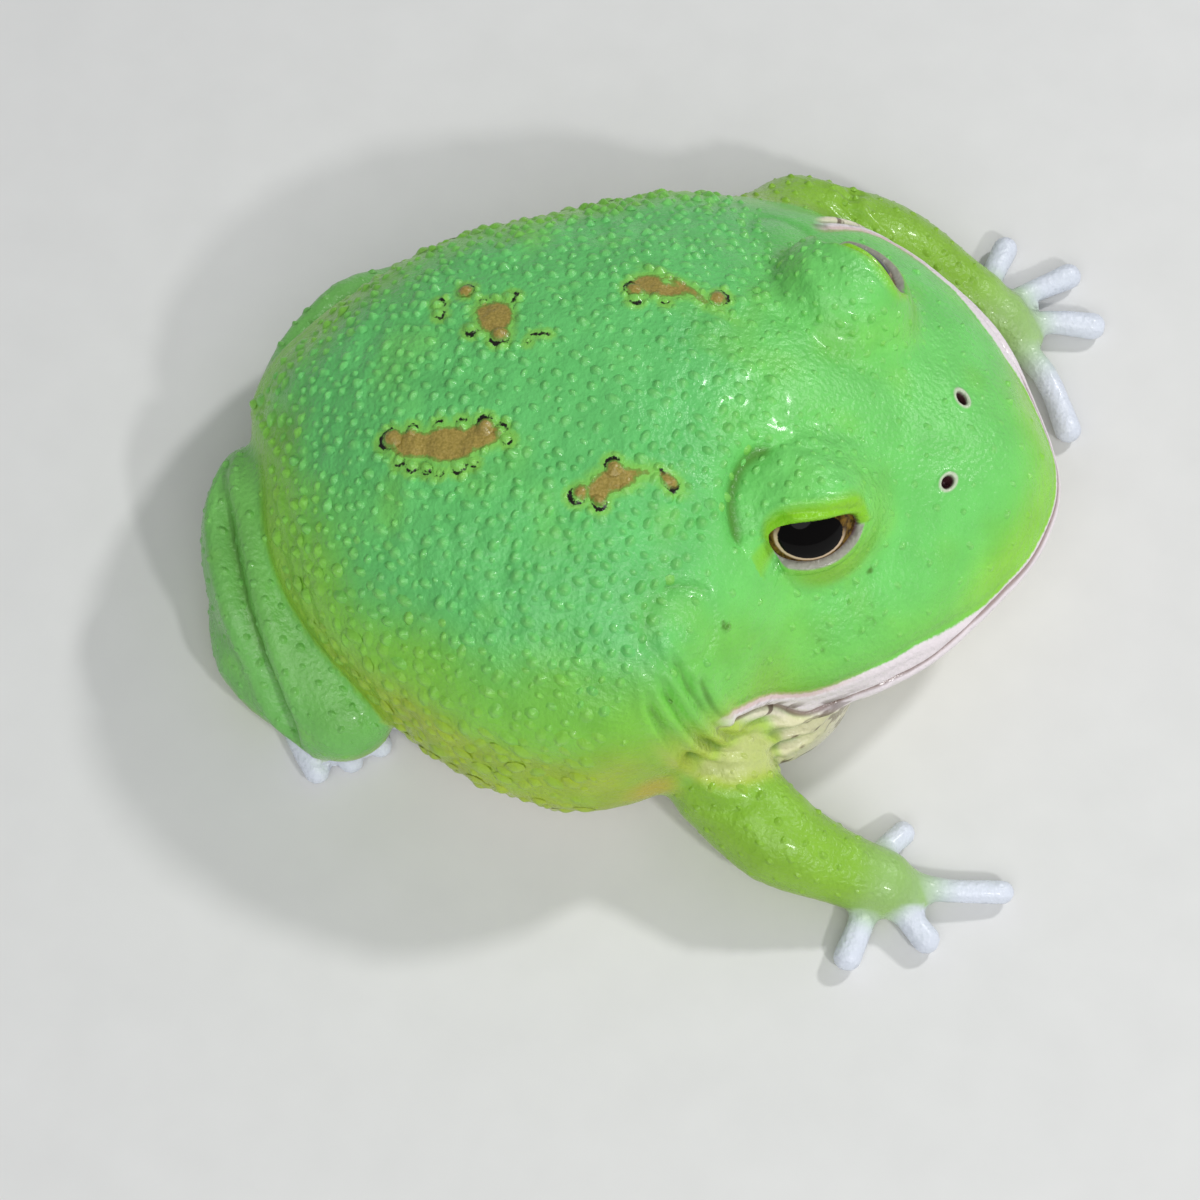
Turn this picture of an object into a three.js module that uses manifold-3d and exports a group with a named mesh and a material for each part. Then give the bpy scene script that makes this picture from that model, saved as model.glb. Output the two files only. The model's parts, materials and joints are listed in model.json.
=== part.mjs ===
// A horned frog at life size, sitting with its belly and throat on the ground.
// Millimetres, +Z up, +X towards the snout, +Y towards the frog's left.
import * as THREE from 'three';
import { mergeVertices } from 'three/addons/utils/BufferGeometryUtils.js';
import Module from 'manifold-3d';

const wasm = await Module();
wasm.setup();

// Where the drawing's zero point lies under the middle of the finished frog.
const SHIFT_X = -3.097;
const SHIFT_Y = -1.097;

// Narrow gap that every pair of touching pieces keeps.
const GAP = 0.3;
// Size of the big blocks that cut away the ground side, the neck and the mouth.
const CUTTER = 200;
const MOUTH_CUTTER_HEIGHT = 60;

// Trunk: rounded masses that melt into one body. Each has a centre, its half
// sizes, and a reach of its own towards the snout.
const BARREL = { at: [2, -1.4, 14.6], half: [33.6, 27.5, 17.4], ahead: 19 };
const BELLY = { at: [1, -1.8, 9], half: [27.5, 27.8, 10.5], ahead: 18 };
const SHOULDERS = { at: [4, 2.4, 14], half: [21, 27.6, 14], ahead: 18 };
const RUMP = { at: [-20.4, 1.6, 12.6], half: [12.8, 10, 9.5], ahead: 14 };
const NAPE = { at: [8, 3.8, 16.5], half: [18, 17.5, 13.2], ahead: 19 };
const TRUNK_BLEND = 3;
const TRUNK_CENTRE = [-6, 0, 12];
const TRUNK_AROUND = 46;
const TRUNK_ROWS = 28;

// Head: a broad half disc, deeper above the mouth than below it.
const HEAD_AXIS_Y = 6.2;
const MUZZLE = { at: [12.2, HEAD_AXIS_Y, 12.4], half: [20, 24.2, 12.6], ahead: 24.4 };
const SNOUT = { at: [24, HEAD_AXIS_Y, 12.2], half: [12, 12.4, 9.4], ahead: 15 };
const CHIN = { at: [12, HEAD_AXIS_Y, 11], half: [20, 23.2, 10.2], ahead: 24.6 };
// Jowl: the soft fold below each corner of the mouth, which rests on the arm.
const JOWL = { x: 15, aside: 19.2, z: 6.4, half: [9.5, 8.5, 6] };
const JOWL_BLEND = 2;
const HEAD_CENTRE = [14, HEAD_AXIS_Y, 12.4];
const HEAD_AROUND = 54;
const HEAD_ROWS = 34;
const HEAD_ROW_SQUEEZE = 0.36;
const NECK_CUT_X = 4.6;

// Mouth: a slightly sloping plane with a rounded lip above and below it.
const MOUTH_SNOUT_Z = 12.9;
const MOUTH_SNOUT_X = 39;
const MOUTH_SLOPE = 0.1;
const LIP_SWELL = 0.5;
const LIP_HALF_HEIGHT = 1.5;
// Behind the neck cut there is no lip; it grows to its full height over this stretch.
const LIP_STARTS = 3;
const LIP_IS_FULL = 12;

// Brow: the mound that carries each eye, with the eyeball in its outer side.
const BROW = { x: 17.2, aside: 9.4, z: 22.4, half: [7.2, 6.4, 6] };
const BROW_BLEND = 2;
const EYE_RADIUS = 5.5;
const EYE = { x: 17.3, aside: 10.2, z: 23.3 };
const EYE_LOOK = [0.3, 0.74, 0.58];
const EYE_AROUND = 22;
const EYE_ROWS = 13;
// Lids: a thin hood of skin over the eyeball, open along the way the eye looks.
const LID_THICK = 0.95;
const LID_OPENING = { long: 5, high: 2.7, deep: 7 };
const LID_ROWS = 14;

// Nostril: an oval pit with a raised rim, and the eardrum's shallow ring.
const NOSTRIL = { x: 31, aside: 4.6, z: 22.4 };
const NOSTRIL_RIM = 0.95;
const NOSTRIL_TUBE = 0.3;
const NOSTRIL_PIT = 0.72;
const EARDRUM = { x: 10.4, aside: 19.5, z: 23 };
const EARDRUM_RADIUS = 3;
const EARDRUM_GROOVE = 0.6;
const RING_SIDES = 6;
const NOSTRIL_AROUND = 14;
const PIT_ROWS = 8;
const EARDRUM_AROUND = 20;

// Limbs: the path of the middle of each piece, and its radius along the path.
const RIGHT_ARM = {
  upper: { path: [[4, -15, 12], [9, -18.5, 10.4], [13.6, -22, 8.2]], radii: [6, 5.4, 4.6] },
  fore: { path: [[14.4, -24, 7], [20, -27.4, 5.6], [27.4, -28.8, 3.4]], radii: [4.6, 4.3, 3.1] },
  palm: { path: [[26.5, -28.2, 3], [30, -28.8, 2.3], [32.6, -29.2, 1.7]], radii: [3, 3.1, 2] },
  fingers: [
    [[28.6, -27.4, 2], [30, -25.2, 1.8], [31.2, -23.4, 1.2]],
    [[31.2, -28.4, 1.9], [36, -28.2, 1.8], [40.8, -27.2, 1.2]],
    [[30.8, -29.8, 1.8], [32.8, -31.2, 1.6], [34.8, -32.8, 1.2]],
    [[29.2, -30.4, 1.8], [28.8, -33, 1.5], [28.2, -35.8, 1.2]],
  ],
};
const LEFT_ARM = {
  upper: { path: [[3, 20, 12], [8, 27, 10], [12, 32.5, 8]], radii: [6.5, 6, 5] },
  fore: { path: [[11, 32.5, 7.4], [20, 33.2, 6], [29.4, 30.6, 3.8]], radii: [5, 4.4, 2.9] },
  palm: { path: [[28.4, 30.8, 3.4], [32, 29.6, 2.5], [34.6, 28.6, 1.8]], radii: [3, 3, 2] },
  fingers: [
    [[33, 28.4, 2], [37.2, 24.8, 1.8], [40.2, 19.8, 1.2]],
    [[33.4, 29.2, 2], [37, 30.6, 1.8], [41, 31.2, 1.2]],
    [[32, 30.8, 1.9], [34.6, 33.4, 1.7], [38, 36.2, 1.2]],
    [[30.4, 31.6, 1.9], [30.8, 34.6, 1.6], [31.6, 38, 1.2]],
  ],
};
const FINGER_RADII = [1.35, 1.15, 1.2];
const RIGHT_LEG = {
  thigh: {
    path: [[-23, -7.4, 11.5], [-30, -7, 11], [-28, -15, 8.8], [-19.8, -23.2, 6]],
    radii: [5.6, 5.8, 5.6, 4.4],
  },
  shank: { path: [[-20.4, -23.6, 4.4], [-28.6, -18.6, 4.8], [-33, -8.4, 4.8]], radii: [3.6, 4.4, 3] },
  sole: { path: [[-33, -8, 2.4], [-29.4, -15.6, 1.8], [-25, -21, 1.6]], radii: [2.6, 2.7, 2.4] },
  toes: [
    [[-26.4, -18.4, 1.5], [-21.6, -18.6, 1.3], [-17, -17.8, 1.1]],
    [[-26, -19.4, 1.5], [-21, -20.8, 1.3], [-16, -21, 1.1]],
    [[-25.8, -20.4, 1.6], [-21.4, -22.8, 1.4], [-16.8, -24, 1.1]],
    [[-25.6, -21, 1.6], [-22.2, -24, 1.4], [-19, -26, 1.1]],
    [[-25.8, -21.4, 1.6], [-24, -24.8, 1.4], [-21.8, -27.6, 1.2]],
  ],
};
const TOE_RADII = [1.45, 1.2, 1.15];
// The far leg mirrors the near one about this line and lies further forward.
const LEG_MIRROR_Y = -1.2;
const LEG_AHEAD = 2.4;
const LIMB = { around: 14, steps: 6, capRows: 3 };
const DIGIT = { around: 8, steps: 3, capRows: 2 };

const COLOURS = {
  back: '#63c96f',
  jaw: '#e9e4c9',
  limb: '#84c43a',
  hand: '#cfdca8',
  eye: '#1d1512',
};

const DOWN = new THREE.Vector3(0, 0, -1);
const WELD = 1e-4;
const TINY = 1e-12;

// How finely the walk from a middle point out to the skin is made.
const WALK_STEP = 0.8;
const WALK_HALVINGS = 18;
const SLOPE_STEP = 0.05;

function toSolid(geometry) {
  const bare = geometry.clone();
  bare.deleteAttribute('normal');
  bare.deleteAttribute('uv');
  const merged = mergeVertices(bare, WELD);
  const mesh = new wasm.Mesh({
    numProp: 3,
    vertProperties: new Float32Array(merged.attributes.position.array),
    triVerts: new Uint32Array(merged.index.array),
  });
  return new wasm.Manifold(mesh);
}

function largestPiece(solid) {
  const pieces = solid.decompose();
  return pieces.reduce((best, piece) => (piece.volume() > best.volume() ? piece : best));
}

function toMesh(name, solid, colour, roughness) {
  const data = largestPiece(solid).getMesh();
  const geometry = new THREE.BufferGeometry();
  geometry.setAttribute('position', new THREE.BufferAttribute(data.vertProperties.slice(), 3));
  geometry.setIndex(new THREE.BufferAttribute(data.triVerts.slice(), 1));
  geometry.computeVertexNormals();
  const material = new THREE.MeshStandardMaterial({ color: colour, roughness, metalness: 0 });
  const mesh = new THREE.Mesh(geometry, material);
  mesh.name = name;
  mesh.position.set(SHIFT_X, SHIFT_Y, 0);
  return mesh;
}

function bigBox(centre) {
  const box = new THREE.BoxGeometry(CUTTER, CUTTER, CUTTER);
  box.translate(centre[0], centre[1], centre[2]);
  return toSolid(box);
}

// Cuts off whatever would reach under the ground, which leaves a flat to rest on.
function onGround(solid) {
  return solid.subtract(bigBox([0, 0, -CUTTER / 2]));
}

// Rough distance from a point to a rounded mass.
function massDistance(point, mass) {
  let ring = 0;
  let slope = 0;
  for (let axis = 0; axis < 3; axis += 1) {
    const offset = point.getComponent(axis) - mass.at[axis];
    const half = axis === 0 && offset > 0 ? mass.ahead : mass.half[axis];
    ring += (offset / half) ** 2;
    slope += (offset / half ** 2) ** 2;
  }
  const scaled = Math.sqrt(ring);
  return (scaled * (scaled - 1)) / Math.sqrt(slope + TINY);
}

function meltTogether(first, second, blend) {
  const share = Math.max(blend - Math.abs(first - second), 0) / blend;
  return Math.min(first, second) - (share * share * blend) / 4;
}

function mouthHeight(x) {
  return MOUTH_SNOUT_Z - (MOUTH_SNOUT_X - x) * MOUTH_SLOPE;
}

function lipSwell(point) {
  const rise = (point.z - mouthHeight(point.x)) / LIP_HALF_HEIGHT;
  const alongJaw = THREE.MathUtils.smoothstep(point.x, NECK_CUT_X + LIP_STARTS, NECK_CUT_X + LIP_IS_FULL);
  return LIP_SWELL * alongJaw * Math.exp(-rise * rise);
}

// Distance to a mass that the head has once on each side.
function pairedDistance(point, mass, side) {
  const at = [mass.x, HEAD_AXIS_Y + side * mass.aside, mass.z];
  return massDistance(point, { at, half: mass.half, ahead: mass.half[0] });
}

// Distance to the skin of trunk and head together, less than zero inside.
function bodyDistance(point) {
  let distance = massDistance(point, BARREL);
  for (const mass of [BELLY, SHOULDERS, RUMP, NAPE, CHIN, MUZZLE, SNOUT]) {
    distance = meltTogether(distance, massDistance(point, mass), TRUNK_BLEND);
  }
  for (const side of [-1, 1]) {
    distance = meltTogether(distance, pairedDistance(point, BROW, side), BROW_BLEND);
    distance = meltTogether(distance, pairedDistance(point, JOWL, side), JOWL_BLEND);
  }
  return distance - lipSwell(point);
}

// Walks outwards from a start point until it leaves the skin.
function reachSkin(start, direction) {
  const point = start.clone();
  let travelled = 0;
  while (bodyDistance(point) < 0 && travelled < CUTTER) {
    travelled += WALK_STEP;
    point.copy(start).addScaledVector(direction, travelled);
  }
  let low = travelled - WALK_STEP;
  let high = travelled;
  for (let turn = 0; turn < WALK_HALVINGS; turn += 1) {
    const middle = (low + high) / 2;
    point.copy(start).addScaledVector(direction, middle);
    if (bodyDistance(point) < 0) {
      low = middle;
    } else {
      high = middle;
    }
  }
  return point;
}

// A ball blown out until it fills the skin, its rows drawn closer at mid height.
function fillSkin(centre, around, rows, squeeze) {
  const ball = new THREE.SphereGeometry(1, around, rows);
  ball.rotateX(Math.PI / 2);
  const start = new THREE.Vector3(...centre);
  const spots = ball.attributes.position;
  const direction = new THREE.Vector3();
  for (let i = 0; i < spots.count; i += 1) {
    direction.fromBufferAttribute(spots, i).normalize();
    const tilt = Math.acos(THREE.MathUtils.clamp(direction.z, -1, 1));
    const turn = Math.atan2(direction.y, direction.x);
    const newTilt = tilt + squeeze * Math.sin(2 * tilt);
    direction.setFromSphericalCoords(1, newTilt, turn);
    direction.set(direction.z, direction.x, direction.y);
    const skin = reachSkin(start, direction);
    spots.setXYZ(i, skin.x, skin.y, skin.z);
  }
  return toSolid(ball);
}

// A round-ended tube along a path whose radius follows a list of named radii.
function fleshTube(path, radii, mesh, grow) {
  const curve = new THREE.CatmullRomCurve3(path.map((spot) => new THREE.Vector3(...spot)));
  const tube = new THREE.CapsuleGeometry(1, 2, mesh.capRows, mesh.around, mesh.steps);
  const spots = tube.attributes.position;
  const aside = new THREE.Vector3();
  const upward = new THREE.Vector3();
  for (let i = 0; i < spots.count; i += 1) {
    const height = spots.getY(i);
    const along = THREE.MathUtils.clamp((height + 1) / 2, 0, 1);
    const place = along * (radii.length - 1);
    const step = Math.min(Math.floor(place), radii.length - 2);
    const radius = THREE.MathUtils.lerp(radii[step], radii[step + 1], place - step) + grow;
    const beyond = height - THREE.MathUtils.clamp(height, -1, 1);
    const tangent = curve.getTangent(along);
    const spot = curve.getPoint(along).addScaledVector(tangent, beyond * radius);
    aside.crossVectors(tangent, DOWN).normalize();
    upward.crossVectors(aside, tangent).normalize();
    spot.addScaledVector(aside, spots.getX(i) * radius);
    spot.addScaledVector(upward, spots.getZ(i) * radius);
    spots.setXYZ(i, spot.x, spot.y, spot.z);
  }
  const solid = toSolid(tube);
  return solid.volume() > 0 ? solid : toSolid(flipped(tube));
}

function flipped(geometry) {
  const turned = geometry.clone();
  const order = turned.index.array;
  for (let i = 0; i < order.length; i += 3) {
    [order[i], order[i + 1]] = [order[i + 1], order[i]];
  }
  return turned;
}

function limbPiece(piece, grow = 0) {
  return fleshTube(piece.path, piece.radii, LIMB, grow);
}

function digits(paths, radii, grow) {
  const fingers = paths.map((path) => fleshTube(path, radii, DIGIT, grow));
  return fingers.reduce((all, finger) => all.add(finger));
}

function hand(arm, grow = 0) {
  return limbPiece(arm.palm, grow).add(digits(arm.fingers, FINGER_RADII, grow));
}

function foot(leg, grow = 0) {
  return limbPiece(leg.sole, grow).add(digits(leg.toes, TOE_RADII, grow));
}

function mirrorPath(path) {
  return path.map((spot) => [spot[0] + LEG_AHEAD, 2 * LEG_MIRROR_Y - spot[1], spot[2]]);
}

function mirrorLeg(leg) {
  return {
    thigh: { path: mirrorPath(leg.thigh.path), radii: leg.thigh.radii },
    shank: { path: mirrorPath(leg.shank.path), radii: leg.shank.radii },
    sole: { path: mirrorPath(leg.sole.path), radii: leg.sole.radii },
    toes: leg.toes.map(mirrorPath),
  };
}

// Turns a flat ring or a ball so that its own Z axis looks along a direction.
function lookAlong(geometry, direction, spot) {
  const turn = new THREE.Quaternion();
  turn.setFromUnitVectors(new THREE.Vector3(0, 0, 1), direction);
  geometry.applyQuaternion(turn);
  geometry.translate(spot.x, spot.y, spot.z);
  return toSolid(geometry);
}

function eyeCentre(side) {
  return new THREE.Vector3(EYE.x, HEAD_AXIS_Y + side * EYE.aside, EYE.z);
}

function eyeLook(side) {
  return new THREE.Vector3(EYE_LOOK[0], side * EYE_LOOK[1], EYE_LOOK[2]).normalize();
}

function eyeball(side, grow = 0) {
  const ball = new THREE.SphereGeometry(EYE_RADIUS + grow, EYE_AROUND, EYE_ROWS);
  return lookAlong(ball, eyeLook(side), eyeCentre(side));
}

// The long oval that parts the upper lid from the lower one.
function lidOpening(side) {
  const oval = new THREE.SphereGeometry(1, EYE_AROUND, LID_ROWS);
  oval.scale(LID_OPENING.long, LID_OPENING.high, LID_OPENING.deep);
  const look = eyeLook(side);
  const forward = new THREE.Vector3(1, 0, 0).addScaledVector(look, -look.x).normalize();
  const upward = new THREE.Vector3().crossVectors(look, forward);
  oval.applyMatrix4(new THREE.Matrix4().makeBasis(forward, upward, look));
  const centre = eyeCentre(side).addScaledVector(look, LID_OPENING.deep);
  oval.translate(centre.x, centre.y, centre.z);
  return toSolid(oval);
}

// The point of the skin above or beside a place on the head, and its outward way.
function skinSpot(x, aside, side, z) {
  const start = new THREE.Vector3(...HEAD_CENTRE);
  const target = new THREE.Vector3(x, HEAD_AXIS_Y + side * aside, z);
  const direction = target.sub(start).normalize();
  const spot = reachSkin(start, direction);
  const outward = new THREE.Vector3();
  for (let axis = 0; axis < 3; axis += 1) {
    const ahead = spot.clone();
    ahead.setComponent(axis, spot.getComponent(axis) + SLOPE_STEP);
    outward.setComponent(axis, bodyDistance(ahead) - bodyDistance(spot));
  }
  return { spot, outward: outward.normalize() };
}

function nostril(side) {
  const place = skinSpot(NOSTRIL.x, NOSTRIL.aside, side, NOSTRIL.z);
  const rim = new THREE.TorusGeometry(NOSTRIL_RIM, NOSTRIL_TUBE, RING_SIDES, NOSTRIL_AROUND);
  const pit = new THREE.SphereGeometry(NOSTRIL_PIT, NOSTRIL_AROUND, PIT_ROWS);
  return {
    rim: lookAlong(rim, place.outward, place.spot),
    pit: lookAlong(pit, place.outward, place.spot),
  };
}

function eardrumGroove(side) {
  const place = skinSpot(EARDRUM.x, EARDRUM.aside, side, EARDRUM.z);
  const ring = new THREE.TorusGeometry(EARDRUM_RADIUS, EARDRUM_GROOVE, RING_SIDES, EARDRUM_AROUND);
  return lookAlong(ring, place.outward, place.spot);
}

// Everything above the mouth plane, raised or lowered by an offset.
function aboveMouth(offset) {
  const block = new THREE.BoxGeometry(CUTTER, CUTTER, MOUTH_CUTTER_HEIGHT);
  block.translate(0, 0, MOUTH_CUTTER_HEIGHT / 2);
  block.rotateY(-Math.atan(MOUTH_SLOPE));
  block.translate(MOUTH_SNOUT_X, 0, MOUTH_SNOUT_Z + offset);
  return toSolid(block);
}

function wholeHead() {
  const skull = fillSkin(HEAD_CENTRE, HEAD_AROUND, HEAD_ROWS, -HEAD_ROW_SQUEEZE);
  return skull.subtract(bigBox([NECK_CUT_X + GAP / 2 - CUTTER / 2, 0, 0]));
}

function headWithFeatures(skull) {
  let head = skull.intersect(aboveMouth(GAP / 2));
  for (const side of [-1, 1]) {
    const nose = nostril(side);
    head = head.add(eyeball(side, LID_THICK)).add(nose.rim);
    head = head.subtract(eyeball(side, GAP)).subtract(lidOpening(side));
    head = head.subtract(nose.pit).subtract(eardrumGroove(side));
  }
  return head;
}

function buildFrog() {
  const frog = new THREE.Group();
  const leftLeg = mirrorLeg(RIGHT_LEG);
  const limbs = [
    { side: 'right', arm: RIGHT_ARM, leg: RIGHT_LEG },
    { side: 'left', arm: LEFT_ARM, leg: leftLeg },
  ];
  const skull = wholeHead();
  let head = headWithFeatures(skull);
  let jaw = skull.subtract(aboveMouth(-GAP / 2));
  let trunk = fillSkin(TRUNK_CENTRE, TRUNK_AROUND, TRUNK_ROWS, 0);
  trunk = trunk.subtract(bigBox([NECK_CUT_X - GAP / 2 + CUTTER / 2, 0, 0]));
  for (const limb of limbs) {
    const around = [
      limbPiece(limb.arm.upper, GAP),
      limbPiece(limb.arm.fore, GAP),
      hand(limb.arm, GAP),
      limbPiece(limb.leg.thigh, GAP),
      limbPiece(limb.leg.shank, GAP),
      foot(limb.leg, GAP),
    ];
    for (const piece of around) {
      trunk = trunk.subtract(piece);
      head = head.subtract(piece);
      jaw = jaw.subtract(piece);
    }
    const fore = limbPiece(limb.arm.fore).subtract(limbPiece(limb.arm.upper, GAP));
    const palm = hand(limb.arm).subtract(limbPiece(limb.arm.fore, GAP));
    const shank = limbPiece(limb.leg.shank).subtract(limbPiece(limb.leg.thigh, GAP));
    const freeOfShank = foot(limb.leg).subtract(limbPiece(limb.leg.shank, GAP));
    const sole = freeOfShank.subtract(limbPiece(limb.leg.thigh, GAP));
    frog.add(toMesh(`upper_arm_${limb.side}`, onGround(limbPiece(limb.arm.upper)), COLOURS.limb, 0.4));
    frog.add(toMesh(`forearm_${limb.side}`, onGround(fore), COLOURS.limb, 0.4));
    frog.add(toMesh(`hand_${limb.side}`, onGround(palm), COLOURS.hand, 0.35));
    frog.add(toMesh(`thigh_${limb.side}`, onGround(limbPiece(limb.leg.thigh)), COLOURS.limb, 0.4));
    frog.add(toMesh(`shank_${limb.side}`, onGround(shank), COLOURS.limb, 0.4));
    frog.add(toMesh(`foot_${limb.side}`, onGround(sole), COLOURS.hand, 0.35));
  }
  frog.add(toMesh('torso', onGround(trunk), COLOURS.back, 0.4));
  frog.add(toMesh('head', onGround(head), COLOURS.back, 0.35));
  frog.add(toMesh('lower_jaw', onGround(jaw), COLOURS.jaw, 0.4));
  frog.add(toMesh('eye_right', eyeball(-1), COLOURS.eye, 0.05));
  frog.add(toMesh('eye_left', eyeball(1), COLOURS.eye, 0.05));
  return frog;
}

export default buildFrog();
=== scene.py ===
"""A horned frog as a life-size museum model: one skin, its warts, two eyes and a small studio.

Sizes are millimetres in the drawing frame, where +X points to the snout, +Y to the
frog's left and +Z up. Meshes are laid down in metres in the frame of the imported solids.
"""

from __future__ import annotations

import itertools
import json
import logging
import math
from collections.abc import Callable, Iterator
from contextlib import contextmanager
from dataclasses import dataclass, field
from enum import Enum

import bpy
import numpy as np
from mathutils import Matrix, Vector

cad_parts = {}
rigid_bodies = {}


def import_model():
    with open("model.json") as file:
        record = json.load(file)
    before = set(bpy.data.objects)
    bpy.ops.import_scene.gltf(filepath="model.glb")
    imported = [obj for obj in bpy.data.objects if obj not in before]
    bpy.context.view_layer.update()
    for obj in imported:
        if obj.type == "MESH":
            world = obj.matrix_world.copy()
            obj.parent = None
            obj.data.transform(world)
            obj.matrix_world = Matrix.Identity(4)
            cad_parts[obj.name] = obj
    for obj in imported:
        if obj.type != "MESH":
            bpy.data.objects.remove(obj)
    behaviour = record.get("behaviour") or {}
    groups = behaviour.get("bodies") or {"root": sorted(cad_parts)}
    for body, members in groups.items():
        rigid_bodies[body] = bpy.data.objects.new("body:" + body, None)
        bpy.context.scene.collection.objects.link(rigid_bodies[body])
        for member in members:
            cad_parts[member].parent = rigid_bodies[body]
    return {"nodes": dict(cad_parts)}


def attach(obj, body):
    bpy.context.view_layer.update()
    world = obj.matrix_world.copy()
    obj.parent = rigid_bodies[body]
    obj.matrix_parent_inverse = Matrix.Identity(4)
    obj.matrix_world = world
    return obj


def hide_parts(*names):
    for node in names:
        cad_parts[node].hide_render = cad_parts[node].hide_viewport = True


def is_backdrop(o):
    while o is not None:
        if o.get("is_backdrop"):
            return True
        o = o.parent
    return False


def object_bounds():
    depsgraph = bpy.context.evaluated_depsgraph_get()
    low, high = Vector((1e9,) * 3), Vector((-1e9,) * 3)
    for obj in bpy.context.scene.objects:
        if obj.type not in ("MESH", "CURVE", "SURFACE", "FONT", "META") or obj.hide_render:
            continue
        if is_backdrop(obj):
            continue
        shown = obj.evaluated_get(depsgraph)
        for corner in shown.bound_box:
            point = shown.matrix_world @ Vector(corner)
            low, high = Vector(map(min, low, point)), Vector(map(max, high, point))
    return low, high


LOG = logging.getLogger("horned_frog")

MM = 0.001
SHIFT = np.array([-3.097, -1.097, 0.0])
HEAD_AXIS_Y = 6.2
FAR = 50.0

NOISE_VALUES = 4096
NOISE_PRIMES = (73856093, 19349663, 83492791)


class Side(Enum):
    """The two sides of the frog, as the sign of Y."""

    RIGHT = -1
    LEFT = 1


def fade(value: np.ndarray, start: float, end: float) -> np.ndarray:
    """Eases from 0 at start to 1 at end.

    Args:
        value: Numbers to judge.
        start: Where the result leaves 0.
        end: Where the result reaches 1.

    Returns:
        Numbers from 0 to 1.
    """
    share = np.clip((value - start) / (end - start), 0.0, 1.0)
    return share * share * (3.0 - 2.0 * share)


def bump(value: np.ndarray, middle: float, width: float) -> np.ndarray:
    """A bell of height 1 round a middle value.

    Args:
        value: Numbers to judge.
        middle: Where the bell stands.
        width: Its half width, where it has sunk to about a third.

    Returns:
        Numbers from 0 to 1.
    """
    return np.exp(-(((value - middle) / width) ** 2))


def unit(rows: np.ndarray) -> np.ndarray:
    """Scales each row to length 1.

    Args:
        rows: Vectors, one a row.

    Returns:
        The same directions at length 1.
    """
    return rows / np.maximum(np.linalg.norm(rows, axis=-1, keepdims=True), 1e-9)


def melt(first: np.ndarray, second: np.ndarray, blend: float) -> np.ndarray:
    """Joins two distance fields with a rounded fillet.

    Args:
        first: Distances to one form.
        second: Distances to the other form.
        blend: Reach of the fillet in millimetres.

    Returns:
        Distances to the two forms melted together.
    """
    share = np.maximum(blend - np.abs(first - second), 0.0) / blend
    return np.minimum(first, second) - share * share * blend / 4.0


def lumps(spots: np.ndarray, size: float, seed: int) -> np.ndarray:
    """Smooth noise from about -1 to 1.

    Args:
        spots: Points in millimetres.
        size: How wide one lump is.
        seed: Which of the many like patterns.

    Returns:
        One number a point.
    """
    table = np.random.default_rng(seed).uniform(-1.0, 1.0, NOISE_VALUES)
    cell = spots / size
    base = np.floor(cell).astype(np.int64)
    part = cell - base
    part = part * part * (3.0 - 2.0 * part)
    total = np.zeros(len(spots))
    for corner in itertools.product((0, 1), repeat=3):
        step = base + np.array(corner)
        key = (step[:, 0] * NOISE_PRIMES[0]) ^ (step[:, 1] * NOISE_PRIMES[1]) ^ (step[:, 2] * NOISE_PRIMES[2])
        weight = np.prod(np.where(np.array(corner) == 1, part, 1.0 - part), axis=1)
        total += table[key & (NOISE_VALUES - 1)] * weight
    return total


def on_side(target: tuple[float, float, float], side: Side) -> np.ndarray:
    """A place on one side of the head.

    Args:
        target: How far ahead, how far aside from the middle of the head, and how high.
        side: Which side.

    Returns:
        The point in millimetres.
    """
    x, aside, z = target
    return np.array([x, HEAD_AXIS_Y + side.value * aside, z])


def toward(tint: np.ndarray, goal: np.ndarray, share: np.ndarray) -> np.ndarray:
    """Moves colours some of the way to another colour.

    Args:
        tint: One colour a row.
        goal: The colour to move to, or one colour a row.
        share: How far, from 0 to 1, one number a row.

    Returns:
        The new colours.
    """
    return tint + (goal - tint) * share[:, None]


# ---------------------------------------------------------------- the form


@dataclass(frozen=True)
class Mass:
    """A rounded mass with a reach of its own towards the snout."""

    at: tuple[float, float, float]
    half: tuple[float, float, float]
    ahead: float

    def distance(self, spots: np.ndarray) -> np.ndarray:
        """Rough distance to the mass.

        Args:
            spots: Points in millimetres.

        Returns:
            Distances, less than zero inside.
        """
        offset = spots - np.array(self.at)
        half = np.tile(np.array(self.half), (len(spots), 1))
        half[:, 0] = np.where(offset[:, 0] > 0.0, self.ahead, half[:, 0])
        scaled = np.sqrt(((offset / half) ** 2).sum(axis=1))
        slope = ((offset / half**2) ** 2).sum(axis=1)
        return scaled * (scaled - 1.0) / np.sqrt(slope + 1e-12)


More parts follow.
